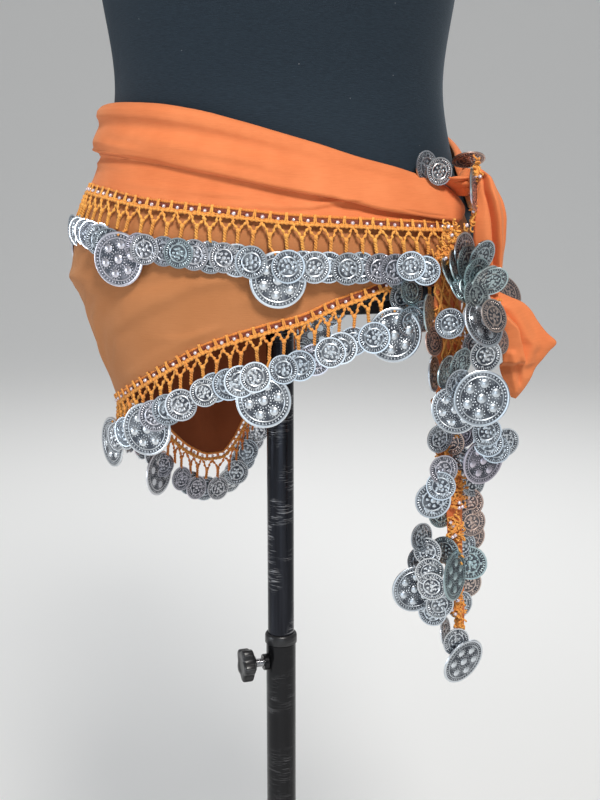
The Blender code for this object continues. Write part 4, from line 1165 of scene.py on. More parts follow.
def makeTrim(kind):
    facts = trims[kind]
    ruler = hemRuler(kind)
    whole = ruler[1][-1]
    count = int(whole / trim["spacing"])
    places = (np.arange(count) + .5) * whole / count
    places = places + rng.uniform(-.0009, .0009, count)
    step = whole / count
    lift = rng.uniform(-1, 1, (count, 6))
    # redder on the lower hem; darker round the back, which is painted shade, as the trim there hangs in
    # shadow
    backShadeShare = easeIn((-np.interp(places, ruler[1], ruler[0]) - 80) / 40)
    toneWithBackShade = .20 + .10 * backShadeShare if kind == "upper" else .38 + .55 * backShadeShare
    shade = np.clip(toneWithBackShade + .2 * lift[:, 3], 0, 1)

    def at(along, drop, out=0.0):
        return trimPoint(kind, ruler, along, drop, out)

    # posts over the gap row, two close threads each
    rows = np.linspace(-.0016, trim["railDrop"], 6)
    sway = .0007 * np.sin(np.linspace(0, math.pi, 6))
    posts = [at(places[:, None] + side * (.0003 + .0006 * np.linspace(0, 1, 6)) + sway * lift[:, :1], rows,
        .0008)
             for side in (-1, 1)]
    postRadius = trim["cord"] * (.66 + .14 * np.cos(np.linspace(0, 4 * math.pi, 6)))
    # arms from the rail to the meeting knot: sideways share eases from 1 to 0
    t = np.linspace(0, 1, 13)
    reach = (1 - t) ** .8 * step * .54
    arms = []
    vLow = trim["vDrop"] * (1 + .10 * lift[:, 1:2])
    for side in (-1, 1):
        wander = .0005 * np.sin(t * 9 + 6 * lift[:, 1:2] + side)
        arms.append(at(places[:, None] + side * reach + .0006 * lift[:, 2:3] * t + wander,
                       trim["railDrop"] + vLow * t, .0008 + .0006 * np.sin(math.pi * t) * side))
    armRadius = trim["cord"] * (.92 + .42 * np.cos(t * 6 * math.pi + lift[:, 5:6]))
    # stems, two threads wound round each other: across = r cos, out = r sin of three turns
    t = np.linspace(0, 1, 15)
    stems = []
    stemLow = trim["stemEnd"] * (1 + .03 * lift[:, 4:5])
    for side in (0, math.pi):
        wind = t * 5 * math.pi + side
        sideways = .00075 * np.cos(wind) + .0012 * lift[:, 3:4] * t * t
        stems.append(at(places[:, None] + .0006 * lift[:, 2:3] + sideways,
                        trim["railDrop"] + vLow + (stemLow - vLow) * t, .0012 + .00075 * np.sin(wind)))
    # knots where the arms meet
    t = np.linspace(-1, 1, 7)
    knots = at(places[:, None] + .0006 * lift[:, 2:3], trim["railDrop"] + vLow + .0018 * t, .0011)
    knotRadius = .0018 * np.sqrt(np.maximum(1 - (t * .93) ** 2, .08))
    # rail and hem roll, with the bumps of their chain stitches
    along = np.linspace(.0005, whole - .0005, 1900)
    railRadius = trim["rail"] * (1 + .30 * np.sin(along * 2 * math.pi / trim["railStitch"]))
    rail = at(along, trim["railDrop"], .0006)[None]
    railTwo = at(along, trim["railDrop"] - .0012, .0003)[None]
    yarnParts = [sweepTubes(p, postRadius, 6, shade) for p in posts]
    yarnParts += [sweepTubes(p, armRadius, 6, shade) for p in arms]
    yarnParts += [sweepTubes(p, trim["stem"], 5, shade) for p in stems]
    yarnParts += [sweepTubes(knots, knotRadius, 7, shade)]
    yarnParts += [sweepTubes(rail, railRadius[None], 6, .35),
        sweepTubes(railTwo, railRadius[None] * .8, 5, .55)]
    yarnPiece = putMesh(f"{kind}Crochet", joinParts(yarnParts), yarn, "form")

    # hem roll: cloth and thread, slightly fuzzy
    hemAlong = np.linspace(-.002, whole + .002, 1500)
    turns, length = ruler[:2]
    hemTurn = np.interp(hemAlong, length, turns)
    hemLine = scarfPoint(hemTurn, edgeOf(facts["edge"], hemTurn) + .0002,
                         hemOffset(kind, hemTurn) - (.0009 if kind == "upper" else .0014))[None]
    stitches = .14 * np.sin(hemAlong * 2 * math.pi / trim["hemStitch"])
    hemRadius = trim["hemRoll"] * (1 + stitches + .10 * np.sin(hemAlong * 900))
    hemPiece = putMesh(f"{kind}HemRoll", joinParts([sweepTubes(hemLine, hemRadius[None], 7, .8)]), yarn,
                       "form")

    # dark ribbon behind the gap row
    # (on the lower hem it stops at the side, where the hem swings clear of the form)
    along = np.linspace(0, whole if kind == "upper" else np.interp(97, -ruler[0], ruler[1]), 700)
    ribbon = at(along[None, :], np.array([.0006, .0026, .0050])[:, None], -.0009)
    ribbonPart = {"points": ribbon, "faces": [gridFaces(3, 700)], "tint": np.full(2100, .3)}
    ribbonPiece = putMesh(f"{kind}GapRibbon", ribbonPart, ribbonThread, "form",
                          closed=False,
                          wall=.0005)

    # a bead in each gap
    pearlPlaces = at((places[1:] + places[:-1]) / 2, .0030, .0009)
    frames = np.broadcast_to(np.eye(3), (len(pearlPlaces), 3, 3))
    sizes = trim["pearl"] * rng.uniform(.85, 1.08, len(pearlPlaces))
    pearls = putMesh(f"{kind}Pearls", stamp(pearlBall, pearlPlaces, frames, sizes, np.full(len(sizes), .5)),
                     pearl,
                     "form", replaces=facts["replaces"])

    # coins hang from the stems; a medallion takes the place of the nearest small coin
    bigTurns = np.array([m[0] for m in facts["medallions"]], float)
    bigAlong = np.interp(-bigTurns, -turns, length)
    nearest = [int(np.argmin(np.abs(places - b))) for b in bigAlong]
    small = np.setdiff1d(np.arange(count), nearest)
    small = small[np.interp(places[small], length, turns) < scarf["coinsFirst"]]
    small = small[rng.random(len(small)) > trim["missing"]]
    fromBig = np.min(np.abs(places[small][:, None] - bigAlong[None]), axis=1)
    beside = easeIn((.030 - fromBig) / .012)
    # coins lap like shingles, and the lapping turns round at each medallion
    run = np.searchsorted(np.sort(bigAlong), places[small])
    lap = np.where(run % 2 == 0, 1, -1)
    low = stemLow[small, 0] + trim["railDrop"]
    # some hang in front of their neighbours: three depths, never the same for two together
    depth = np.cumsum(rng.integers(1, 3, len(small))) % 3
    holes = at(places[small] + .0016 * lift[small, 3] + .0006 * lift[small, 2], low + .0010,
               .0010 + .0034 * beside + .0015 * depth)
    ahead = at(places[small] - .002, low, 0)
    behind = at(places[small] + .002, low, 0)
    along = unit((ahead - behind) * (1, 1, 0))
    normals = facingOut(along, np.interp(places[small], length, turns))
    frames = leaningFrames(normals, lap * 6 + rng.uniform(-4, 4, len(small)), rng.uniform(-4, 2, len(small)),
                           rng.uniform(-10, 10, len(small)))
    radius = coins["smallRadius"] * rng.uniform(.94, 1.06, len(small))
    centres = holes - frames[:, 1] * (.80 * radius)[:, None]
    tints = np.clip(rng.beta(2, 2, len(small)) * .8, 0, 1)
    coinPiece = putMesh(f"{kind}Coins", stamp(smallCoin, centres, frames, radius, tints), smallCoinMetal,
                        "form",
                        sharp=40)
    bigEdge = edgeOf(facts["edge"], bigTurns)
    bigHeights = np.array([m[1] for m in facts["medallions"]]) + facts["coinShift"]
    centres = plumbPoint(bigTurns, bigEdge, bigEdge - bigHeights, hemOffset(kind, bigTurns) + .0040)
    left = plumbPoint(bigTurns - 1, bigEdge, bigEdge - bigHeights, hemOffset(kind, bigTurns))
    right = plumbPoint(bigTurns + 1, bigEdge, bigEdge - bigHeights, hemOffset(kind, bigTurns))
    along = unit((right - left) * (1, 1, 0))
    normals = facingOut(along, bigTurns)
    frames = leaningFrames(normals, rng.uniform(-4, 4, len(along)), rng.uniform(-2, 1, len(along)),
                           rng.uniform(-8, 8, len(along)))
    bigPiece = putMesh(f"{kind}Medallions",
                       stamp(medallion, centres, frames, np.full(len(centres), coins["bigRadius"]),
                             rng.uniform(.2, .6, len(centres))),
                       medallionMetal, "form", sharp=40, replaces=facts["names"])
    # longer stems down to the medallions
    holes = centres + frames[:, 1] * .86 * coins["bigRadius"]
    starts = at(places[nearest], trim["railDrop"] + trim["stemEnd"] - .001, .0010)
    t = np.linspace(0, 1, 6)[None, :, None]
    links = starts[:, None] * (1 - t) + (holes[:, None] + normals[:, None] * .0010) * t
    linkPiece = putMesh(f"{kind}MedallionCords", joinParts([sweepTubes(links, trim["bigStem"], 6, .4)]),
                        yarn, "form")
    print(kind, "trim made,", count, "small places")
    return [yarnPiece, hemPiece, ribbonPiece, pearls, coinPiece, bigPiece, linkPiece]


upperTrim = makeTrim("upper")
lowerTrim = makeTrim("lower")


# knot and tails

def bowedStrip(rows, count, yaw, columns, folds=()):
    # a hanging strip whose section bows out between its edges; a fold is a line of (down, across) stops
    # that rises by exp(-(distance / width)^2), across in shares of the width from -1/2 to 1/2
    table = [(i, *row) for i, row in enumerate(rows)]
    along = np.array([math.cos(math.radians(yaw)), math.sin(math.radians(yaw)), 0.0])
    outward = np.array([along[1], -along[0], 0.0])
    down = np.linspace(0, len(rows) - 1, count)
    place = readTable(table, down)
    across = np.linspace(-.5, .5, columns)
    width, bow = place[:, 3:4], place[:, 4:5]
    bulge = bow * (1 - (2 * across) ** 2)
    for stops, rise, spread in folds:
        middle = readTable(stops, down)
        faded = easeIn((down - stops[0][0]) / .5) * easeIn((stops[-1][0] - down) / .5)
        bulge = bulge + (faded * rise)[:, None] * np.exp(-(((across - middle) * width) / spread) ** 2)
    points = (place[:, None, :3] + (across * width)[..., None] * along + bulge[..., None] * outward)
    flat = np.stack([across * width, np.broadcast_to(place[:, 2:3], (count, columns))], -1)
    return {"points": points, "faces": [gridFaces(count, columns)], "flat": flat}


def outlinedSheet(facts, count, columns):
    # cloth between two outlines, bowed out between them by bow (1 - (2 across)^2); a fold is a line of
    # (row, across) stops: a ridge or valley rise exp(-(distance / spread)^2), or a tuck, where everything
    # on its left stands out by the rise, over a step as wide as the spread
    rows = [(i, *left, *right, bow) for i, (left, right, bow) in enumerate(facts["rows"])]
    down = np.linspace(0, len(rows) - 1, count)
    place = readTable(rows, down)
    across = np.linspace(0, 1, columns)
    left, right = place[:, None, :3], place[:, None, 3:6]
    width = np.linalg.norm(right - left, axis=-1)
    bulge = place[:, 6:7] * (1 - (2 * across - 1) ** 2)
    for kind, stops, rise, spread in facts["folds"]:
        middle = readTable(stops, down)
        faded = easeIn((down - stops[0][0]) / .8) * easeIn((stops[-1][0] - down) / .8)
        away = (across - middle) * width / spread
        bulge = bulge + (faded * rise)[:, None] * (np.exp(-away ** 2) if kind == "ridge"
            else easeIn(.5 - away))
    yaw = math.radians(facts["yaw"])
    outward = np.array([math.sin(yaw), -math.cos(yaw), 0.0])
    points = left + (right - left) * across[:, None] + bulge[..., None] * outward
    if facts["back"]:
        # the cloth goes round the right edge and back behind, a finger's thickness away
        deep = facts["back"] * np.sqrt(np.clip(np.minimum(across, 1 - across) / .12, 0, 1))[::-1]
        backDepth = deep[:, None] + .3 * bulge[..., None]
        behind = left + (right - left) * across[::-1, None] - backDepth * outward
        points = np.concatenate([points, behind[:, 1:]], axis=1)
    steps = np.linalg.norm(np.diff(points, axis=1), axis=-1)
    side = np.concatenate([np.zeros((count, 1)), np.cumsum(steps, axis=1)], axis=1)
    flat = np.stack([side, np.broadcast_to(place[:, 2:3], side.shape)], -1)
    return {"points": points, "faces": [gridFaces(*side.shape)], "flat": flat}


tailLoop = {
    # each row: left edge, right edge, bow
    "rows": (((.1462, -.0905, .9858), (.1478, -.0905, .9866), .0004),
             ((.1472, -.0915, .9790), (.1548, -.0905, .9815), .0020),
             ((.1464, -.0925, .9700), (.1600, -.0900, .9722), .0036),
             ((.1451, -.0930, .9601), (.1658, -.0895, .9610), .0050),
             ((.1446, -.0935, .9490), (.1681, -.0895, .9490), .0056),
             ((.1450, -.0935, .9353), (.1679, -.0895, .9353), .0056),
             ((.1470, -.0930, .9240), (.1666, -.0895, .9240), .0046),
             ((.1520, -.0920, .9140), (.1658, -.0895, .9140), .0034),
             ((.1560, -.0910, .9040), (.1650, -.0895, .9040), .0022),
             ((.1580, -.0900, .8950), (.1640, -.0890, .8950), .0008)),
    "yaw": 14.0, "back": .0070,
    "folds": (("ridge", ((.3, .52), (1, .52), (2, .44), (3, .48), (4, .54), (5, .60), (6, .66), (7, .64),
        (9, .5)), -.0100, .0021),
              ("ridge", ((.6, .76), (2, .66), (3, .68), (4, .70), (5, .76), (6, .82), (8, .80)), .0020,
                  .0022),
              ("ridge", ((.8, .20), (2, .22), (4, .24), (6, .26), (8, .3)), .0012, .0030),
              ("ridge", ((2, .90), (4, .88), (6, .92)), -.0010, .0012)),
}
tailFlare = {
    "rows": (((.1580, -.0860, .8950), (.1640, -.0850, .8966), .0010),
             ((.1580, -.0860, .8870), (.1736, -.0840, .8922), .0030),
             ((.1600, -.0860, .8801), (.1839, -.0820, .8876), .0048),
             ((.1620, -.0855, .8730), (.1908, -.0812, .8812), .0056),
             ((.1660, -.0850, .8670), (.1957, -.0806, .8737), .0056),
             ((.1660, -.0845, .8605), (.2032, -.0800, .8645), .0050),
             ((.1662, -.0840, .8545), (.2108, -.0800, .8570), .0040),
             ((.1666, -.0835, .8485), (.2056, -.0800, .8506), .0040),
             ((.1674, -.0830, .8420), (.2010, -.0800, .8445), .0044),
             ((.1690, -.0825, .8350), (.1962, -.0800, .8384), .0044),
             ((.1715, -.0820, .8290), (.1925, -.0800, .8300), .0036),
             ((.1745, -.0810, .8225), (.1880, -.0800, .8222), .0024),
             ((.1782, -.0800, .8150), (.1814, -.0800, .8138), .0006)),
    "yaw": 10.0, "back": 0,
    "folds": (("tuck", ((0, .10), (2, .26), (3, .34), (4, .38), (5, .36), (6, .34), (7, .42), (8.4, .54)),
        .0095, .0030),
              ("ridge", ((1, .42), (3, .56), (5, .56), (7, .62), (9, .70)), .0022, .0050),
              ("ridge", ((2, .72), (4, .76), (6, .72), (8, .76), (10, .8)), -.0014, .0050),
              ("ridge", ((6, .12), (8, .22), (10, .30), (12, .5)), .0026, .0030),
              ("ridge", ((7, .34), (9, .44), (11, .6)), -.0018, .0026)),
}
tailLong = {
    "rows": ((.1250, -.1030, .9340, .009, .0020), (.1244, -.1035, .9070, .024, .0040),
             (.1258, -.1010, .8700, .024, .0040), (.1280, -.0985, .8300, .024, .0035),
             (.1296, -.0970, .7850, .022, .0030), (.1342, -.0960, .7370, .015, .0030),
             (.1371, -.0950, .6890, .013, .0030), (.1409, -.0950, .6500, .010, .0020),
             (.1429, -.0950, .6250, .006, .0010)),
    "yaw": 30.0,
    "folds": ((((0, .2), (4, .15), (8, .1)), -.0034, .0024),
        (((0, -.25), (3, -.2), (6, -.25)), -.0024, .0020)),
}
knot = {
    "centre": (.1412, -.0735, .9772), "radii": (.0076, .0092, .0098), "tilt": 78.0, "ridges": 7,
    # the gathered cloth from the band's end to the knot: turn and height where each pleat leaves the
    # band, and where it reaches the knot
    "pleats": (((56.5, .9795), (.1392, -.0815, .9820)), ((59.0, .9770), (.1398, -.0838, .9792)),
               ((61.0, .9745), (.1404, -.0848, .9762)), ((62.5, .9720), (.1410, -.0848, .9732)),
               ((63.6, .9692), (.1415, -.0836, .9702)), ((64.4, .9664), (.1419, -.0812, .9670))),
    # the same from the end of the band behind
    "backPleats": (((77.5, .9868), (.1432, -.0690, .9835)), ((79.0, .9822), (.1452, -.0680, .9812)),
                   ((80.0, .9774), (.1462, -.0680, .9784)), ((80.0, .9730), (.1462, -.0680, .9756)),
                   ((79.0, .9686), (.1454, -.0684, .9728)), ((77.5, .9640), (.1436, -.0694, .9704))),
    "ridgeLine": ((0, 0), (.10, 1), (.27, -1), (.43, .8), (.58, -1), (.74, .8), (.90, -.7), (1, -1)),
}


def makeKnotNeck(name, pleats, offset, outward):
    # a fan of cloth: straight pleats from the band to the knot, lifted off it in an arch, whose ridges
    # grow from nothing at the band
    starts = np.array([scarfPoint(*p[0], offset) for p in pleats])
    ends = np.array([p[1] for p in pleats])
    share = np.linspace(0, 1, len(starts))
    down = np.linspace(0, 1, 60)
    start = readTable(np.column_stack([share, starts]).tolist(), down)[:, None]
    end = readTable(np.column_stack([share, ends]).tolist(), down)[:, None]
    along = np.linspace(0, 1, 36)[:, None]
    ridge = readTable(knot["ridgeLine"], down)[:, None, :]
    lift = (.0030 * np.sin(math.pi * along) + .0026 * easeIn((along - .15) / .5) * ridge
            - .0022 * (1 - easeIn(along / .12)))
    points = start + (end - start) * along + lift * unit(np.array(outward))
    flat = np.stack(np.broadcast_arrays(along[:, 0] * .02, down[:, None] * .02), -1)
    part = {"points": points, "faces": [gridFaces(60, 36)], "flat": flat}
    return putMesh(name, part, orangeCloth, "form", closed=False, wall=scarf["cloth"])


def makeKnotAndTails():
    strips = {}
    for name, facts, count, columns, node in (("tailLoop", tailLoop, 90, 44, "tail_loop"),
                                              ("tailFlare", tailFlare, 90, 60, "tail_fan")):
        strips[name] = putMesh(name, outlinedSheet(facts, count, columns), orangeCloth, "form",
                               closed=False, wall=scarf["cloth"], replaces=[node])
    part = bowedStrip(tailLong["rows"], 120, tailLong["yaw"], 24, tailLong["folds"])
    strips["tailLong"] = putMesh("tailLong", part, orangeCloth, "form", closed=False,
                                 wall=scarf["cloth"], replaces=["tail_long"])
    # knot: an ellipsoid whose radius ripples with the turns of cloth
    x, y, z = knot["centre"]
    a, b, c = knot["radii"]
    turn = np.linspace(0, 2 * math.pi, 60, endpoint=False)
    tilt = np.radians(np.linspace(-knot["tilt"], knot["tilt"], 40))[:, None]
    ripple = 1 - .07 * (.5 + .5 * np.cos(knot["ridges"] * (tilt + .5 * np.sin(turn)) * 1.6 + 2 * turn))
    rings = np.stack([x + a * np.cos(tilt) * np.cos(turn) * ripple,
                      y + b * np.cos(tilt) * np.sin(turn) * ripple,
                      z + c * np.sin(tilt) + 0 * turn], -1)
    part = loft(rings)
    part["flat"] = np.stack([np.broadcast_to(turn * .010, rings.shape[:2]), rings[..., 2]], -1)
    putMesh("knotCore", part, orangeCloth, "form", replaces=["knot_core"])
    strips["knotNeck"] = makeKnotNeck("knotNeck", knot["pleats"], .0086, (.45, -.89, 0))
    makeKnotNeck("knotNeckBehind", knot["backPleats"], .0058, (.95, -.30, 0))
    print("knot and tails made")
    return strips


strips = makeKnotAndTails()

tailCoins = {
    # x, y, height, radius, yaw, pitch, lean, tint
    "small": (
        (.1545, -.133, .885, .0125, 44, 0, 30, .92), (.1505, -.126, .855, .0122, 12, 0, -10, .42),
        (.1235, -.130, .879, .0112, 10, 0, 5, .20), (.1095, -.122, .885, .0145, 70, 0, 5, .75),
        (.1135, -.122, .865, .0112, 52, 0, 10, .96), (.1140, -.122, .841, .0135, 68, 0, 4, .20),
        (.1225, -.126, .843, .0125, 55, 0, -8, .75), (.1322, -.130, .850, .0118, 46, 0, -14, .75),
        (.1300, -.134, .836, .0112, 34, 0, -20, .15), (.1535, -.124, .798, .0112, 8, 0, 10, .20),
        (.1555, -.120, .789, .0112, -12, 0, 0, .15), (.1695, -.112, .787, .0112, 20, 0, -14, .25),
        (.1615, -.116, .783, .0112, -14, 0, 8, .10), (.1235, -.116, .767, .0112, 15, 0, 8, .55),
        (.1215, -.118, .755, .0112, -10, 0, -6, .15), (.1165, -.112, .742, .0140, 8, 0, 4, .20),
        (.1495, -.090, .750, .0112, 30, 0, 6, .30), (.1475, -.088, .734, .0112, -20, 0, 0, .95),
        (.1495, -.090, .718, .0112, 15, 0, 8, .95), (.1085, -.112, .713, .0112, 40, 0, 4, .25),
        (.1135, -.110, .701, .0112, -22, 0, 0, .40), (.1505, -.088, .705, .0112, 24, 0, -8, .95),
        (.1485, -.090, .685, .0140, -12, 0, 6, .75), (.1485, -.088, .667, .0112, 18, 0, 0, .92),
        (.1145, -.116, .687, .0112, 6, 0, -8, .42), (.1165, -.118, .676, .0112, -16, 0, 6, .42),
        (.1235, -.112, .659, .0112, 10, 0, 0, .30), (.1185, -.108, .651, .0112, -20, 0, 10, .22),
        (.1295, -.104, .634, .0112, 66, 0, 10, .30), (.1375, -.108, .627, .0112, 20, 0, -8, .35),
        (.1098, -.080, .9880, .0120, 44, 0, 8, .15), (.1188, -.084, .9848, .0103, 20, 0, -6, .44),
        (.1415, -.072, .9930, .0125, 8, 62, 0, .95), (.1412, -.100, .9760, .0125, 76, 0, 4, .75),
        (.1430, -.098, .9690, .0125, 70, 0, 6, .60), (.1550, -.118, .9080, .0122, 34, 0, -62, .75),
        (.1745, -.076, .8950, .0125, 52, 0, 38, .96), (.0962, -.118, .9188, .0108, 4, 0, 6, .24),
        (.1070, -.115, .9152, .0108, -8, 0, -8, .20), (.0880, -.112, .9120, .0108, 14, 0, 4, .44),
        (.0975, -.113, .9005, .0108, 40, 0, 12, .75), (.0905, -.110, .8960, .0108, 30, 0, -6, .30),
        (.1240, -.116, .9130, .0125, 72, 0, 26, .75), (.1290, -.117, .9180, .0130, 66, 0, 16, .75),
        (.1350, -.113, .9290, .0138, 52, 0, 4, .70), (.1375, -.117, .9210, .0132, 46, 0, 2, .76),
        (.1475, -.114, .9250, .0132, 46, 0, -26, .72), (.1430, -.121, .9130, .0128, 40, 0, -16, .75),
        (.1500, -.120, .9090, .0126, 44, 0, -44, .78), (.1370, -.123, .9040, .0125, 26, -24, 4, .75),
        (.1425, -.125, .8985, .0120, 34, -20, -14, .78), (.1310, -.121, .9040, .0120, 60, -10, 20, .75),
        (.1630, -.108, .8630, .0105, 45, 0, 20, .95), (.1335, -.104, .8170, .0108, 30, 0, 10, .60),
        (.1300, -.102, .7850, .0108, -24, 0, 6, .95), (.1395, -.098, .7900, .0108, 18, 0, -8, .60),
        (.1445, -.112, .860, .0112, 30, 0, 12, .20), (.1245, -.112, .812, .0112, -18, 0, 6, .30),
        (.1205, -.112, .790, .0112, 28, 0, -6, .25), (.1445, -.108, .806, .0112, 12, 0, 6, .55),
        (.1375, -.100, .770, .0112, -22, 0, 0, .20), (.1245, -.100, .728, .0112, 24, 0, 8, .75),
        (.1425, -.092, .700, .0112, 20, 0, 4, .20), (.1275, -.104, .700, .0112, -26, 0, 6, .72),
        (.1415, -.094, .652, .0112, 24, 0, -4, .25), (.1085, -.104, .692, .0112, 26, 0, 8, .20)),
    "big": (
        (.1482, -.128, .880, .0190, 46, 0, 34, .22), (.1475, -.134, .825, .0208, 6, 0, 4, .20),
        (.1295, -.126, .815, .0180, -22, 0, 0, .30), (.1535, -.112, .773, .0185, 30, 0, -12, .60),
        (.1345, -.112, .682, .0190, 58, 0, 4, .75), (.1045, -.108, .670, .0180, 14, 0, 6, .25),
        (.1445, -.102, .608, .0195, 38, 0, -24, .30)),
}


def makeTailCoins():
    made = []
    for name, template, material in (("small", smallCoin, smallCoinMetal),
            ("big", medallion, medallionMetal)):
        table = np.array(tailCoins[name])
        normals = np.broadcast_to((0.0, -1.0, 0.0), (len(table), 3))
        frames = leaningFrames(normals, table[:, 4], table[:, 5], table[:, 6])
        part = stamp(template, table[:, :3], frames, table[:, 3], table[:, 7])
        nodes = ["coin_bunch_loop", "coin_bunch_left"] if name == "small" else ["coin_bunch_right"]
        made.append(putMesh(f"tailCoins.{name}", part, material, "form", sharp=40,
            replaces=nodes))
    print("tail coins made")
    return made


tailCrochet = {
    # clumps of knotted yarn: x, y, height, spread sideways, spread down, how many arcs, shade
    "clumps": ((.1450, -.090, .984, .0030, .0060, 44, .30), (.1428, -.096, .952, .0012, .0090, 22, .30),
               (.1270, -.109, .940, .0080, .0080, 70, .25), (.1235, -.110, .925, .0100, .0080, 60, .45),
               (.1235, -.108, .905, .0080, .0120, 60, .80), (.1205, -.110, .878, .0070, .0100, 44, .70),
               (.1355, -.112, .868, .0060, .0100, 40, .75), (.1305, -.110, .845, .0080, .0100, 44, .65),
               (.1265, -.104, .805, .0070, .0120, 50, .50), (.1240, -.104, .780, .0060, .0100, 44, .45),
               (.1320, -.101, .760, .0060, .0100, 40, .50), (.1365, -.100, .742, .0060, .0120, 60, .50),
               (.1350, -.101, .715, .0050, .0140, 80, .30), (.1345, -.102, .694, .0050, .0100, 60, .25),
               (.1385, -.100, .655, .0045, .0130, 80, .40), (.1405, -.099, .635, .0035, .0080, 40, .35),
               (.1645, -.088, .884, .0050, .0050, 40, .45), (.1185, -.106, .690, .0050, .0080, 30, .40),
               (.1485, -.094, .760, .0050, .0080, 30, .50)),
    "arc": .0025, "cord": .00070,
}


def makeTailCrochet():
    paths, shades, beads = [], [], []
    t = np.linspace(0, 1, 7)
    for x, y, z, wide, tall, count, shade in tailCrochet["clumps"]:
        middle = rng.normal(0, .5, (count, 3)) * (wide, .0022, tall) + (x, y, z)
        first = unit(rng.normal(0, 1, (count, 3)) * (1, .5, 1.2))
        second = unit(np.cross(first, rng.normal(0, 1, (count, 3))))
        reach = tailCrochet["arc"] * rng.uniform(.7, 1.3, (count, 1, 1))
        # each arc is most of a turn of a flat spiral
        angle = t * math.radians(230) + rng.uniform(0, 6, (count, 1))
        arc = reach * (np.cos(angle)[..., None] * first[:, None] + .7 * np.sin(angle)[..., None]
            * second[:, None])
        paths.append(middle[:, None] + arc * (1 - .25 * t[None, :, None]))
        shades.append(np.clip(shade + rng.uniform(-.25, .25, count), 0, 1))
        beads.append(middle[: count // 18] + (0, -.0030, 0))
    part = joinParts([sweepTubes(np.concatenate(paths), tailCrochet["cord"], 6, np.concatenate(shades))])
    piece = putMesh("tailCrochet", part, yarn, "form")
    beads = np.concatenate(beads)
    frames = np.broadcast_to(np.eye(3), (len(beads), 3, 3))
    beadPiece = putMesh("tailPearls", stamp(pearlBall, beads, frames, np.full(len(beads), trim["pearl"]),
                                            np.full(len(beads), .5)), pearl, "form")
    print("tail crochet made")
    return [piece, beadPiece]


tailNet = {
    # rows of the net from the hem down: left and right ends, x, y, height
    "rows": (((.1120, -.1060, .9300), (.1340, -.1020, .9300)),
             ((.1130, -.1090, .9080), (.1370, -.1060, .9080)),
             ((.1170, -.1110, .8860), (.1420, -.1080, .8860)),
             ((.1200, -.1110, .8640), (.1420, -.1080, .8640)),
             ((.1215, -.1090, .8420), (.1400, -.1070, .8420)),
             ((.1215, -.1060, .8180), (.1370, -.1040, .8180)),
             ((.1220, -.1040, .7960), (.1350, -.1020, .7960))),
    "strands": 9, "swings": 17, "cord": .00090,
}


def makeTailNet():
    # zigzag threads hung side by side: each swings by half a mesh, and neighbours swing opposite ways
    rows = [(i, *left, *right) for i, (left, right) in enumerate(tailNet["rows"])]
    down = np.linspace(0, len(rows) - 1, 240)
    place = readTable(rows, down)
    strands = tailNet["strands"]
    middle = (np.arange(strands) + .5)[:, None] / strands
    phase = down / down[-1] * tailNet["swings"]
    swing = np.abs((phase % 2) - 1) * 2 - 1
    sign = np.where(np.arange(strands) % 2, 1, -1)[:, None]
    across = middle + (.5 / strands) * swing * sign + .010 * rng.uniform(-1, 1, (strands, 1))
    bow = .0032 * (1 - (2 * across - 1) ** 2)
    paths = place[None, :, :3] + (place[:, 3:] - place[:, :3])[None] * across[..., None]
    paths[..., 1] -= bow + .0007 * np.sin(phase * math.pi) * sign
    uneven = 1 + .25 * rng.uniform(-1, 1, (strands, 1))
    radii = tailNet["cord"] * (1 + .35 * np.sin(down * 2 * math.pi * 16 + sign)) * uneven
    tint = np.clip(.55 + .3 * rng.uniform(-1, 1, strands), 0, 1)
    piece = putMesh("tailNet", joinParts([sweepTubes(paths, radii, 6, tint)]), yarn, "form")
    print("tail net made")
    return piece


tailTrim = makeTailCoins() + makeTailCrochet() + [makeTailNet()]


# floor, light and camera

studio = {
    "floorRadius": 4.5, "rise": 4.0, "floorTone": (.90, .90, .89),
    "world": (.88, .90, .93), "worldStrength": .29,
    # name, place, aim, size, power, colour
    "lights": (("keyLight", (.35, -1.55, 2.55), (0, 0, .93), .6, 50, (1, .97, .93)),
               ("lowFrontLight", (.1, -3.2, .45), (0, 0, .85), 2.2, 17, (.80, .91, 1)),
               ("lowLeftLight", (-2.2, -.7, .75), (-.1, 0, .87), .8, 13, (.86, .93, 1)),
               ("backLight", (.8, 2.6, 2.6), (0, 0, .9), 1.8, 15, (1, 1, 1)),
               ("backdropLight", (0, 1.6, 3.0), (0, 5.5, .6), 2.0, 58, (1, 1, 1))),
    "lens": 55.26, "sensor": 36, "eye": (.0165, -1.0, 1.008), "lookDown": 12,
}


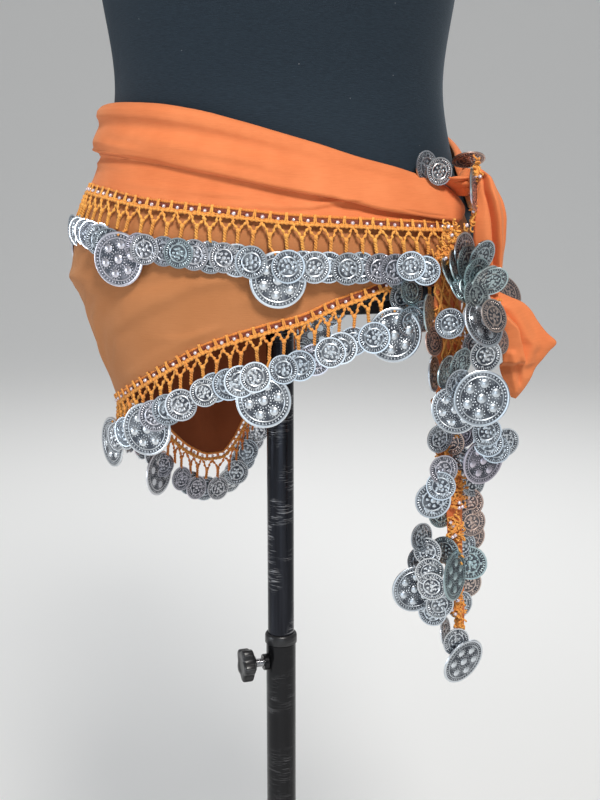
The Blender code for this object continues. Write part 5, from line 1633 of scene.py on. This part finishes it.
def makeStudio():
    # a floor that turns up at its far edge all round: a quarter circle carried round the axis
    flatPart = [(r, 0.0) for r in np.linspace(.05, studio["floorRadius"], 12)]
    a = np.linspace(0, math.pi / 2, 16)[1:]
    curved = np.stack([studio["floorRadius"] + studio["rise"] * np.sin(a),
        studio["rise"] * (1 - np.cos(a))], -1)
    profile = np.array([*flatPart, *curved])
    turn = np.linspace(0, 2 * math.pi, 96, endpoint=False)
    points = np.stack([np.outer(profile[:, 0], np.cos(turn)), np.outer(profile[:, 0], np.sin(turn)),
                       np.outer(profile[:, 1], np.ones(96))], -1).reshape(-1, 3)
    faces = gridFaces(len(profile), 96, aroundColumns=True).tolist() + [list(range(96))[::-1]]
    mesh = bpy.data.meshes.new("studioFloor")
    mesh.from_pydata(points.tolist(), [], faces)
    mesh.shade_smooth()
    floor = bpy.data.objects.new("studioFloor", mesh)
    bpy.context.scene.collection.objects.link(floor)
    material = bpy.data.materials.new("paleFloor")
    shader = nodeTree(material)[1]
    shader.inputs["Base Color"].default_value = (*studio["floorTone"], 1)
    shader.inputs["Roughness"].default_value = 0.9
    mesh.materials.append(material)

    world = bpy.data.worlds.new("studioWorld")
    world.use_nodes = True
    back = world.node_tree.nodes["Background"]
    back.inputs[0].default_value = (*studio["world"], 1)
    back.inputs[1].default_value = studio["worldStrength"]
    bpy.context.scene.world = world

    for name, place, aim, size, power, tone in studio["lights"]:
        light = bpy.data.lights.new(name, "AREA")
        light.shape = "DISK"
        light.size = size
        light.energy = power
        light.color = tone
        lamp = bpy.data.objects.new(name, light)
        bpy.context.scene.collection.objects.link(lamp)
        lamp.location = place
        away = np.array(place) - np.array(aim)
        lamp.rotation_euler = (math.acos(away[2] / np.linalg.norm(away)), 0, math.atan2(away[0], -away[1]))


def makeCamera():
    camera = bpy.data.cameras.new("camera")
    camera.lens = studio["lens"]
    camera.sensor_width = studio["sensor"]
    camera.clip_end = 60
    view = bpy.data.objects.new("camera", camera)
    bpy.context.scene.collection.objects.link(view)
    view.location = studio["eye"]
    view.rotation_euler = (math.radians(90 - studio["lookDown"]), 0, 0)
    bpy.context.scene.camera = view


makeStudio()
makeCamera()
bpy.context.scene.view_settings.view_transform = "Standard"
